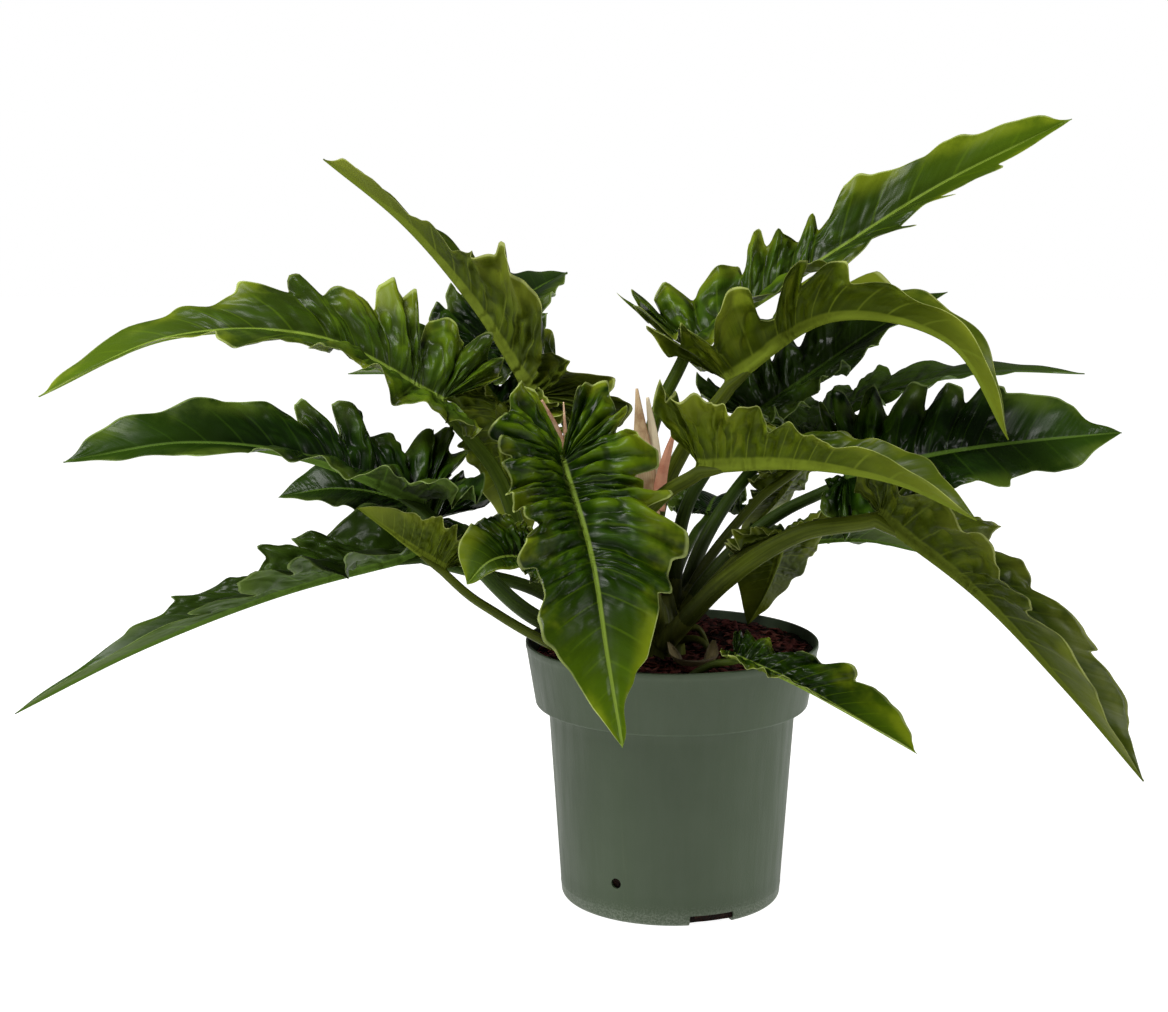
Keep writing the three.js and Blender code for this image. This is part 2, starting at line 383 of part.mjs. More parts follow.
// A path through points, measured along its length
function makePath(points) {
  const steps = 60;
  const axes = [0, 1, 2].map((axis) => points.map((point) => point[axis]));
  const samples = [];
  for (let i = 0; i <= steps; i++) {
    samples.push(new THREE.Vector3(...axes.map((values) => smooth(values, i / steps))));
  }
  const lengths = [0];
  for (let i = 1; i <= steps; i++) {
    lengths.push(lengths[i - 1] + samples[i].distanceTo(samples[i - 1]));
  }
  const total = lengths[steps];
  const at = (distance) => {
    const d = Math.min(Math.max(distance, 0), total);
    let i = 1;
    while (i < steps && lengths[i] < d) i++;
    const f = (d - lengths[i - 1]) / (lengths[i] - lengths[i - 1]);
    return samples[i - 1].clone().lerp(samples[i], f);
  };
  const along = (distance) => at(distance + total * 0.02).sub(at(distance - total * 0.02)).normalize();
  return { total, at, along };
}

// One half's margin as places along it and how far it reaches there: the leaf's
// own list, or notches between even lobes
function marginPoints(leaf, side) {
  if (leaf.edges) return leaf.edges[side > 0 ? 1 : 0];
  const seed = leaf.seed + (side > 0 ? 0.37 : 0);
  const points = [[0, 1]];
  for (let i = 1; i <= leaf.lobes; i++) {
    const inner = i < leaf.lobes;
    const before = points[points.length - 1][0];
    const shift = inner ? (chance(i, seed) - 0.5) * LOBE_SHIFT : 0;
    const q = smooth(LOBE_PLACES, (i + shift) / leaf.lobes);
    const rise = mix(0.3, 1, smoothstep(q, 0.2, 0.4));
    const fade = rise * mix(1, 0.15, smoothstep(q, CALM_FROM, CALM_TO));
    const depth = leaf.cut * fade * mix(0.6, 1.3, chance(i + 20, seed));
    points.push(...SHOULDERS.map((stop) => [mix(before, q, stop), 1]));
    points.push([q, inner ? 1 - Math.min(depth, DEEPEST_CUT) : 1]);
  }
  return points;
}

// Notches of a margin, with how many waves lie before each
function waveCounts(points) {
  const notches = [{ q: 0, count: 0 }];
  const last = points.length - 1;
  for (let i = 1; i <= last; i++) {
    const [q, reach] = points[i];
    const before = notches[notches.length - 1];
    if (i === last || (reach < points[i - 1][1] && reach < points[i + 1][1])) {
      const waves = Math.max(1, Math.round((q - before.q) / WAVE_SPAN));
      notches.push({ q, count: before.count + waves });
    }
  }
  return notches;
}

// Place of a share of the margin in waves, and how far the margin reaches there
function marginAt(points, q) {
  let i = 0;
  while (i < points.length - 2 && points[i + 1][0] <= q) i++;
  const reach = mix(points[i][1], points[i + 1][1], smoothstep(q, points[i][0], points[i + 1][0]));
  const notches = waveCounts(points);
  let k = 0;
  while (k < notches.length - 2 && notches[k + 1].q <= q) k++;
  const share = (q - notches[k].q) / (notches[k + 1].q - notches[k].q);
  return { place: mix(notches[k].count, notches[k + 1].count, share), reach };
}

// A point of a blade: side is -1 or 1, q goes along the margin, t out to it
function bladePoint(leaf, path, margin, side, q, t) {
  const x = smooth(MARGIN_X, q);
  const marginX = x < 0 ? x * leaf.back : x * path.total;
  const marginY = smooth(MARGIN_Y, q) * leaf.width / 2;
  const startX = smooth(STARTS, q) * path.total;
  const { place, reach } = marginAt(margin, q);
  const power = Math.min(CUT_POWER, (0.9 * reach) / Math.max(1 - reach, 0.01));
  const u = t * (1 - (1 - reach) * t ** power);
  const flatX = startX + (marginX - startX) * u ** RIB_SWEEP;
  const flatY = Math.max(marginY, 0) * u;
  const share = Math.min(Math.max(flatX / path.total, 0), 1);
  const frame = bladeFrame(leaf, path, flatX, side);
  const fold = mix(leaf.fold[0], leaf.fold[1], share) * degrees;
  const bend = Math.max(mix(leaf.curl[0], leaf.curl[1], share), 1) * degrees / (leaf.width / 2);
  const out = (Math.sin(fold) - Math.sin(fold - bend * flatY)) / bend;
  const up = (Math.cos(fold - bend * flatY) - Math.cos(fold)) / bend;
  const slope = fold - bend * flatY;
  const fade = 1 - 0.8 * smoothstep(q, CALM_FROM, CALM_TO);
  const slow = SLOW_WAVE * Math.sin(SLOW_PACE * place + leaf.seed + side);
  const wave = slow - Math.cos(2 * Math.PI * place);
  const lift = leaf.ruffle * fade * wave * t ** WAVE_POWER * Math.min(1, flatY / STIFF_WIDTH);
  const point = frame.at.clone();
  point.addScaledVector(frame.across, side * (out - lift * Math.sin(slope)));
  point.addScaledVector(frame.normal, up + lift * Math.cos(slope));
  return point;
}

// The midrib's own frame at a distance from the petiole
function bladeFrame(leaf, path, distance, side) {
  const share = Math.min(Math.max(distance / path.total, 0), 1);
  const tangent = path.along(Math.max(distance, 0));
  const behind = Math.min(distance, 0);
  const reach = path.at(path.total).sub(path.at(0));
  const level = new THREE.Vector3(-reach.y, reach.x, 0).normalize();
  const flat = level.addScaledVector(tangent, -level.dot(tangent)).normalize();
  const rise = new THREE.Vector3().crossVectors(tangent, flat);
  const roll = mix(leaf.roll[0], leaf.roll[1], share) * degrees;
  const across = flat.clone().multiplyScalar(Math.cos(roll)).addScaledVector(rise, Math.sin(roll));
  const normal = rise.clone().multiplyScalar(Math.cos(roll)).addScaledVector(flat, -Math.sin(roll));
  const heel = leaf.heel[side > 0 ? 1 : 0] * degrees;
  const at = path.at(Math.max(distance, 0)).addScaledVector(tangent, behind * Math.cos(heel));
  at.addScaledVector(rise, -behind * Math.sin(heel));
  return { at, across, normal };
}

// Collects a surface's points and triangles; points at one place are one point
function makeSheet() {
  const points = [];
  const places = new Map();
  const triangles = [];
  const add = (point) => {
    const key = [point.x, point.y, point.z].map((value) => value.toFixed(3)).join();
    if (!places.has(key)) {
      places.set(key, points.length);
      points.push(point);
    }
    return places.get(key);
  };
  const face = (a, b, c) => {
    if (a !== b && b !== c && c !== a) triangles.push([a, b, c]);
  };
  return { points, triangles, add, face };
}

// Gives a surface a thickness: the lower face lies "depth(i)" under the upper
function thicken(sheet, depth) {
  const { points, triangles } = sheet;
  const normals = points.map(() => new THREE.Vector3());
  const edges = new Map();
  for (const [a, b, c] of triangles) {
    const ab = points[b].clone().sub(points[a]);
    const ac = points[c].clone().sub(points[a]);
    const normal = ab.cross(ac);
    for (const i of [a, b, c]) normals[i].add(normal);
    for (const [from, to] of [[a, b], [b, c], [c, a]]) edges.set(`${from},${to}`, [from, to]);
  }
  const count = points.length;
  const position = [];
  points.forEach((point, i) => {
    const upper = point.clone().addScaledVector(normals[i].normalize(), BLADE / 2);
    position.push(upper.x, upper.y, upper.z);
  });
  points.forEach((point, i) => {
    const lower = point.clone().addScaledVector(normals[i], BLADE / 2 - depth(i));
    position.push(lower.x, lower.y, lower.z);
  });
  const index = [];
  for (const [a, b, c] of triangles) index.push(a, b, c, a + count, c + count, b + count);
  for (const [from, to] of edges.values()) {
    if (edges.has(`${to},${from}`)) continue;
    index.push(from, from + count, to + count, from, to + count, to);
  }
  return makeGeometry(position, index);
}

function makeGeometry(position, index) {
  const geometry = new THREE.BufferGeometry();
  geometry.setAttribute('position', new THREE.Float32BufferAttribute(position, 3));
  geometry.setIndex(index);
  return geometry;
}

function toSolid(geometry) {
  const bare = geometry.clone();
  bare.deleteAttribute('normal');
  bare.deleteAttribute('uv');
  const merged = mergeVertices(bare, 1e-4);
  const vertProperties = Float32Array.from(merged.attributes.position.array);
  const triVerts = Uint32Array.from(merged.index.array);
  return new wasm.Manifold(new wasm.Mesh({ numProp: 3, vertProperties, triVerts }));
}

// The mesh of a solid's largest body, without crumbs that cutting leaves
function fromSolid(solid) {
  const bodies = solid.simplify(SHORTEST).decompose();
  const mesh = bodies.reduce((best, body) => (body.volume() > best.volume() ? body : best)).getMesh();
  return makeGeometry(Array.from(mesh.vertProperties), Array.from(mesh.triVerts));
}

// A closed round bar through rings, each with a centre, a direction and a radius
function makeBar(rings, sides) {
  const position = [];
  const index = [];
  const last = rings.length - 1;
  for (const { centre, ahead, radius } of rings) {
    const across = new THREE.Vector3(0, 1, 0).cross(ahead).normalize();
    const up = new THREE.Vector3().crossVectors(ahead, across);
    for (let s = 0; s < sides; s++) {
      const angle = (2 * Math.PI * s) / sides;
      const point = centre.clone().addScaledVector(across, radius * Math.cos(angle));
      point.addScaledVector(up, radius * Math.sin(angle));
      position.push(point.x, point.y, point.z);
    }
  }
  for (let i = 0; i < last; i++) {
    for (let s = 0; s < sides; s++) {
      const next = (s + 1) % sides;
      const a = i * sides + s;
      const b = i * sides + next;
      index.push(a, b, b + sides, a, b + sides, a + sides);
    }
  }
  for (let s = 1; s < sides - 1; s++) {
    index.push(0, s + 1, s);
    index.push(last * sides, last * sides + s, last * sides + s + 1);
  }
  return toSolid(makeGeometry(position, index));
}

// Rings along part of a path; "grow" makes the bar larger all round
function ringsAlong(path, from, to, steps, radiusAt, grow) {
  const rings = [];
  for (let i = 0; i <= steps; i++) {
    const distance = mix(from, to, i / steps);
    const radius = radiusAt(distance / path.total) + grow;
    rings.push({ centre: path.at(distance), ahead: path.along(distance), radius });
  }
  rings[0].centre.addScaledVector(rings[0].ahead, -grow);
  rings[steps].centre.addScaledVector(rings[steps].ahead, grow);
  return rings;
}

// One leaf's blade with its keeled midrib
function makeBlade(leaf, path) {
  const sheet = makeSheet();
  const keel = new Map();
  for (const side of [-1, 1]) {
    const margin = marginPoints(leaf, side);
    const place = (q, t) => sheet.add(bladePoint(leaf, path, margin, side, q, t));
    const face = (a, b, c) => (side > 0 ? sheet.face(a, b, c) : sheet.face(a, c, b));
    // Both halves meet at the same points of the midrib
    const ribs = [];
    for (let i = 0; i <= leaf.lobes; i++) {
      const q = smooth(LOBE_PLACES, i / leaf.lobes);
      const start = Math.max(smooth(STARTS, q), 0);
      const root = sheet.add(path.at(start * path.total));
      if (start > 0) keel.set(root, mix(leaf.stalk[1] * KEEL_BASE, KEEL_TIP, start));
      ribs.push({ q, rows: [root, start > 0 ? place(q, KEEL_SHARE) : root, place(q, MIDDLE_SHARE)] });
    }
    for (let i = 0; i < leaf.lobes; i++) {
      const [near, far] = [ribs[i].rows, ribs[i + 1].rows];
      for (const row of [0, 1]) {
        face(near[row], far[row + 1], near[row + 1]);
        face(near[row], far[row], far[row + 1]);
      }
    }
    // The outer band joins each rib to the margin's points on both sides of it
    const rim = margin.map(([q]) => ({ q, point: place(q, 1) }));
    let i = 0;
    for (let k = 0; k < rim.length - 1; k++) {
      while (i < leaf.lobes && rim[k + 1].q > (ribs[i].q + ribs[i + 1].q) / 2) {
        face(ribs[i].rows[2], ribs[i + 1].rows[2], rim[k].point);
        i++;
      }
      face(ribs[i].rows[2], rim[k + 1].point, rim[k].point);
    }
  }
  return thicken(sheet, (i) => BLADE + (keel.get(i) ?? 0));
}

// The petiole from a distance along it to the blade, bent into the midrib
function makePetiole(leaf, from, grow) {
  const path = makePath(leaf.petiole);
  const midrib = makePath(leaf.midrib);
  const radiusAt = (share) => mix(leaf.stalk[0], leaf.stalk[1], share);
  const rings = ringsAlong(path, from, path.total, PETIOLE_STEPS, radiusAt, grow);
  const below = bladeFrame(leaf, midrib, 0, 1).normal.multiplyScalar(-leaf.stalk[1]);
  rings[PETIOLE_STEPS].centre.addScaledVector(below, PETIOLE_SINK);
  const centre = midrib.at(KNEE).addScaledVector(below, KNEE_SHARE);
  rings.push({ centre, ahead: midrib.along(KNEE), radius: leaf.stalk[1] * KNEE_SHARE + grow });
  return makeBar(rings, 6);
}

// How much of a leaf's petiole is one with the crown
function stubOf(leaf) {
  return leaf.stub ?? STUB;
}

// The stems with the foot of every petiole that grows from them
function makeCrown(grow) {
  const bars = STEMS.map((stem) => {
    const path = makePath(stem.points);
    return makeBar(ringsAlong(path, 0, path.total, 4, (share) => smooth(stem.radii, share), grow), 8);
  });
  for (const leaf of LEAVES.filter((one) => stubOf(one) > 0)) {
    const path = makePath(leaf.petiole);
    const radiusAt = (share) => mix(leaf.stalk[0], leaf.stalk[1], share);
    bars.push(makeBar(ringsAlong(path, 0, stubOf(leaf), 2, radiusAt, grow), 6));
  }
  return bars.reduce((whole, bar) => whole.add(bar));
}

const crown = makeCrown(0);
const crownRoom = makeCrown(CLEARANCE);

function makeLeaf(leaf) {
  const blade = toSolid(makeBlade(leaf, makePath(leaf.midrib)));
  const from = stubOf(leaf) > 0 ? stubOf(leaf) + JOINT_GAP : 0;
  return blade.add(makePetiole(leaf, from, 0)).subtract(crownRoom);
}

// A pointed flap of a dry sheath: a gutter that opens to the side "open" points to
function makeFlap({ points, widths, open }) {
  const sheet = makeSheet();
  const path = makePath(points);
  const hollow = new THREE.Vector3(...open);
  const rows = [];
  for (let i = 0; i <= FLAP_STEPS; i++) {
    const ahead = path.along((path.total * i) / FLAP_STEPS);
    const depth = hollow.clone().addScaledVector(ahead, -hollow.dot(ahead)).normalize();
    const across = new THREE.Vector3().crossVectors(ahead, depth);
    const half = smooth(widths, i / FLAP_STEPS) / 2;
    rows.push([-1, -0.5, 0, 0.5, 1].map((place) => {
      const angle = place * FLAP_BEND;
      const point = path.at((path.total * i) / FLAP_STEPS);
      point.addScaledVector(across, half * Math.sin(angle) / Math.sin(FLAP_BEND));
      return sheet.add(point.addScaledVector(depth, -half * (Math.cos(angle) - Math.cos(FLAP_BEND))));
    }));
  }
  for (let i = 0; i < FLAP_STEPS; i++) {
    for (let k = 0; k < 4; k++) {
      sheet.face(rows[i][k], rows[i + 1][k + 1], rows[i][k + 1]);
      sheet.face(rows[i][k], rows[i + 1][k], rows[i + 1][k + 1]);
    }
  }
  return toSolid(thicken(sheet, () => FLAP));
}

// A dry leaf sheath: pointed flaps, on a stalk where it has one
function makeSheath(sheath) {
  const pieces = sheath.flaps.map(makeFlap);
  if (sheath.stalk) {
    const path = makePath(sheath.stalk);
    pieces.push(makeBar(ringsAlong(path, 0, path.total, 4, (share) => smooth(sheath.radii, share), 0), 6));
  }
  return pieces.reduce((whole, piece) => whole.add(piece)).subtract(crownRoom);
}

// A closed shape turned about the pot's axis, from points of radius and height
function turned(profile, sides) {
  const points = profile.map(([radius, height]) => new THREE.Vector2(radius, height));
  const geometry = new THREE.LatheGeometry(points, sides);
  geometry.rotateX(Math.PI / 2);
  return toSolid(geometry);
}

// A cutter at a place on the wall: turn 0 is the front, and it grows to the right
function onWall(geometry, radius, height, turn) {
  geometry.translate(0, -radius, height);
  geometry.rotateZ(turn * degrees);
  return toSolid(geometry);
}

const collarFoot = POT_HEIGHT - COLLAR_DROP;

function makePot() {
  let pot = turned([
    [0, 0],
    [FOOT_RADIUS - FOOT_ROUND, 0],
    [FOOT_RADIUS - FOOT_ROUND * 0.3, FOOT_ROUND * 0.3],
    [FOOT_RADIUS, FOOT_ROUND],
    [NECK_RADIUS, collarFoot],
    [COLLAR_RADIUS - COLLAR_ROUND, collarFoot],
    [COLLAR_RADIUS, collarFoot + COLLAR_ROUND],
    [RIM_RADIUS, POT_HEIGHT - 1],
    [RIM_RADIUS - 1, POT_HEIGHT],
    [RIM_RADIUS - WALL, POT_HEIGHT],
    [COLLAR_RADIUS - WALL, collarFoot + WALL],
    [NECK_RADIUS - WALL, collarFoot + WALL],
    [FOOT_RADIUS - WALL, FLOOR],
    [0, FLOOR],
  ], POT_SIDES);
  for (let i = 0; i < DRAIN_COUNT; i++) {
    const step = (360 / DRAIN_COUNT) * i;
    const notch = new THREE.BoxGeometry(NOTCH_WIDTH, 2 * NOTCH_DEPTH, 2 * NOTCH_HEIGHT);
    const hole = new THREE.CylinderGeometry(HOLE_RADIUS, HOLE_RADIUS, 6 * WALL, 12);
    pot = pot.subtract(onWall(notch, FOOT_RADIUS, 0, NOTCH_TURN + step));
    pot = pot.subtract(onWall(hole, FOOT_RADIUS, HOLE_HEIGHT, HOLE_TURN + step));
  }
  return pot;
}

// The potting mix: a plug that fills the pot, with an uneven top of bark
function makeSoil() {
  const top = POT_HEIGHT - SOIL_DROP;
  const gap = WALL + FIT_GAP;
  const wallAt = (height) => mix(COLLAR_RADIUS, RIM_RADIUS, (height - collarFoot) / COLLAR_DROP) - gap;
  const rings = [
    ...SOIL_RINGS.map((radius) => [radius, top]),
    [wallAt(top), top],
    [wallAt(collarFoot + gap), collarFoot + gap],
    [NECK_RADIUS - gap, collarFoot + gap],
    [FOOT_RADIUS - gap, FLOOR + FIT_GAP],
  ];
  const shiftOf = (ring) => (ring < SOIL_RINGS.length - 1 ? (ring % 2) / 2 : 0);
  const position = [0, 0, top];
  rings.forEach(([radius, height], i) => {
    for (let s = 0; s < SOIL_SEGMENTS; s++) {
      const angle = (2 * Math.PI * (s + shiftOf(i))) / SOIL_SEGMENTS;
      const bump = i < SOIL_RINGS.length ? (chance(i * SOIL_SEGMENTS + s, 5) - 0.5) * 2 * BARK_RELIEF : 0;
      position.push(radius * Math.cos(angle), radius * Math.sin(angle), height + bump);
    }
  });
  position.push(0, 0, FLOOR + FIT_GAP);
  const last = rings.length - 1;
  const at = (ring, s) => 1 + ring * SOIL_SEGMENTS + (s % SOIL_SEGMENTS);
  const index = [];
  for (let s = 0; s < SOIL_SEGMENTS; s++) {
    index.push(0, at(0, s), at(0, s + 1));
    index.push(1 + rings.length * SOIL_SEGMENTS, at(last, s + 1), at(last, s));
    for (let i = 0; i < last; i++) {
      const lead = shiftOf(i) > shiftOf(i + 1) ? 1 : 0;
      index.push(at(i, s), at(i + 1, s + lead), at(i, s + 1));
      index.push(at(i, s + 1 - lead), at(i + 1, s), at(i + 1, s + 1));
    }
  }
  let soil = toSolid(makeGeometry(position, index)).subtract(makeCrown(FIT_GAP));
  for (const leaf of LEAVES.filter((one) => stubOf(one) === 0)) {
    soil = soil.subtract(makePetiole(leaf, 0, FIT_GAP));
  }
  return soil;
}

const plant = new THREE.Group();

function addPiece(name, solid, colour, roughness) {
  const material = new THREE.MeshStandardMaterial({ color: colour, roughness, metalness: 0 });
  const mesh = new THREE.Mesh(fromSolid(solid), material);
  mesh.name = name;
  plant.add(mesh);
}

addPiece('pot', makePot(), POT_GREEN, 0.55);
addPiece('soil', makeSoil(), BARK_BROWN, 0.95);
addPiece('crown', crown, STEM_GREEN, 0.5);
for (const sheath of SHEATHS) addPiece(sheath.name, makeSheath(sheath), SHEATH_TAN, 0.7);
for (const leaf of LEAVES) addPiece(leaf.name, makeLeaf(leaf), TONES[leaf.tone], 0.4);

export default plant;
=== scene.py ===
# Narrow escape philodendron in a round nursery pot, finished for the studio.
# The tables are in millimetres, as in the CAD source; every mesh is in metres.

import math

import bpy
import numpy as np
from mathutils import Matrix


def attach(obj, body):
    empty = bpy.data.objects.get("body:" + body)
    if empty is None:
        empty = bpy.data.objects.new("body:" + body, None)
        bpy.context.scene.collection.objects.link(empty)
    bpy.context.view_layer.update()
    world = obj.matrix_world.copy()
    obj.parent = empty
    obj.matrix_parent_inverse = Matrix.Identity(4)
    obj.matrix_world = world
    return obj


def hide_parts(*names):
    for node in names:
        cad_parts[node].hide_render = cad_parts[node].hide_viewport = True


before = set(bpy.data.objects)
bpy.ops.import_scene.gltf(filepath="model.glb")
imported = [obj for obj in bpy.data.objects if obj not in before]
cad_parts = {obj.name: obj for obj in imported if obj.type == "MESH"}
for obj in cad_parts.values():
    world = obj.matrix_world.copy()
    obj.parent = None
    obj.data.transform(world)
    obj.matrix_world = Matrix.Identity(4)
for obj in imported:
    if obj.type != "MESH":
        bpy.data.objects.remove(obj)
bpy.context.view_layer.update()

MM = 0.001

# The pot's profile, as in the CAD source
POT_HEIGHT = 228
RIM_RADIUS = 127
COLLAR_FOOT = 172.5
COLLAR_RADIUS = 118.6
COLLAR_ROUND = 2.2
NECK_RADIUS = 107.3
FOOT_RADIUS = 96
FOOT_ROUND = 5
WALL = 2.4
FLOOR = 3
POT_SIDES = 180
SHARP_EDGE = 40
DRAIN_COUNT = 3
NOTCH_SIZE = (40, 24, 19)
NOTCH_TURN = 22
HOLE_RADIUS = 4.6
HOLE_DEPTH = 14
HOLE_HEIGHT = 35
HOLE_TURN = -28
HOLE_SIDES = 32

# The potting mix, heaped towards the back right between two distances that way
SOIL_TOP = 212
SOIL_GAP = 0.3
SOIL_SIDES = 144
SOIL_RINGS = 46
BARK_RELIEF = 2.4
HEAP = 8.5
HEAP_PLACE = (20, 75)

# Bark chips: six-sided and flat. Stations are a share of the length and of the width.
CHIPS = 1500
CHIP_SIDES = 6
CHIP_LENGTHS = (5, 17)
CHIP_WIDTHS = (0.25, 0.5)
CHIP_THICKNESS = (0.8, 2.4)
CHIP_RISE = (0.2, 2.2)
CHIP_TILT = 0.22
CHIP_LEAN = 0.3
CHIP_CORNERS = (0.72, 1.2)
CHIP_WEAR = (0.85, 1.15)
CHIP_STATIONS = [(-0.5, 0.35), (-0.28, 0.85), (0.1, 1.0), (0.36, 0.75), (0.5, 0.3)]

# Leaves: how fine the meshes are, and the blade's thickness
PATH_STEPS = 240
MARGIN_STEP = 0.0037
COARSE_ENDS = (0.2, 0.8)
USUAL_WIDTH = 130
LEAST_STEPS = 4
SPREAD = [0, 0.014, 0.03, 0.055, 0.09, 0.14, 0.2, 0.27, 0.35, 0.43, 0.51, 0.59, 0.67, 0.75, 0.83,
          0.9, 0.95, 1]
KEEL_ROWS = 5
BLADE = 0.75
STUB = 45
KNEE = 22
KNEE_RINGS = 6
PETIOLE_SIDES = 16
PETIOLE_RINGS = 40

# The margin of one blade half, as in the CAD source
MARGIN_X = [-0.03, -0.6, -1.0, -0.7, -0.1, 0.12, 0.26, 0.4, 0.54, 0.68, 0.84, 1.0]
MARGIN_Y = [0.04, 0.26, 0.55, 0.95, 1.04, 1.0, 0.94, 0.84, 0.71, 0.55, 0.32, 0.0]
STARTS = [0, 0, 0, 0, 0, 0.06, 0.16, 0.28, 0.41, 0.56, 0.76, 1.0]
FAN = 4 / 11
DEEPEST_CUT = 0.42
# Where evenly counted lobes lie along the margin: close together near the base
LOBE_PLACES = [0, 0.125, 0.25, 0.365, 0.445, 0.53, 0.62, 0.73, 1]
LOBE_SHIFT = 0.45
SHOULDERS = (0.3, 0.75)
# One wave of the margin between two notches, or more where they lie further apart
WAVE_SPAN = 0.1
# Where the margin grows calm towards the tip, and the width that waves need
CALM = (0.5, 0.85)
WAVE_ROOM = 25

# Relief of the blade between its lateral veins, and of its midrib
PUFF = 5.8
WRINKLE = 2.2
FINE_RUFFLE = 1.2
RIM_CURL = 2.4
RIB_RISE = 0.7
RIB_WIDTH = (3.6, 1.0)
USUAL_STALK = 6
KEEL_SHARE = 0.62
KEEL_SINK = 0.75
KEEL_EDGE = 0.42

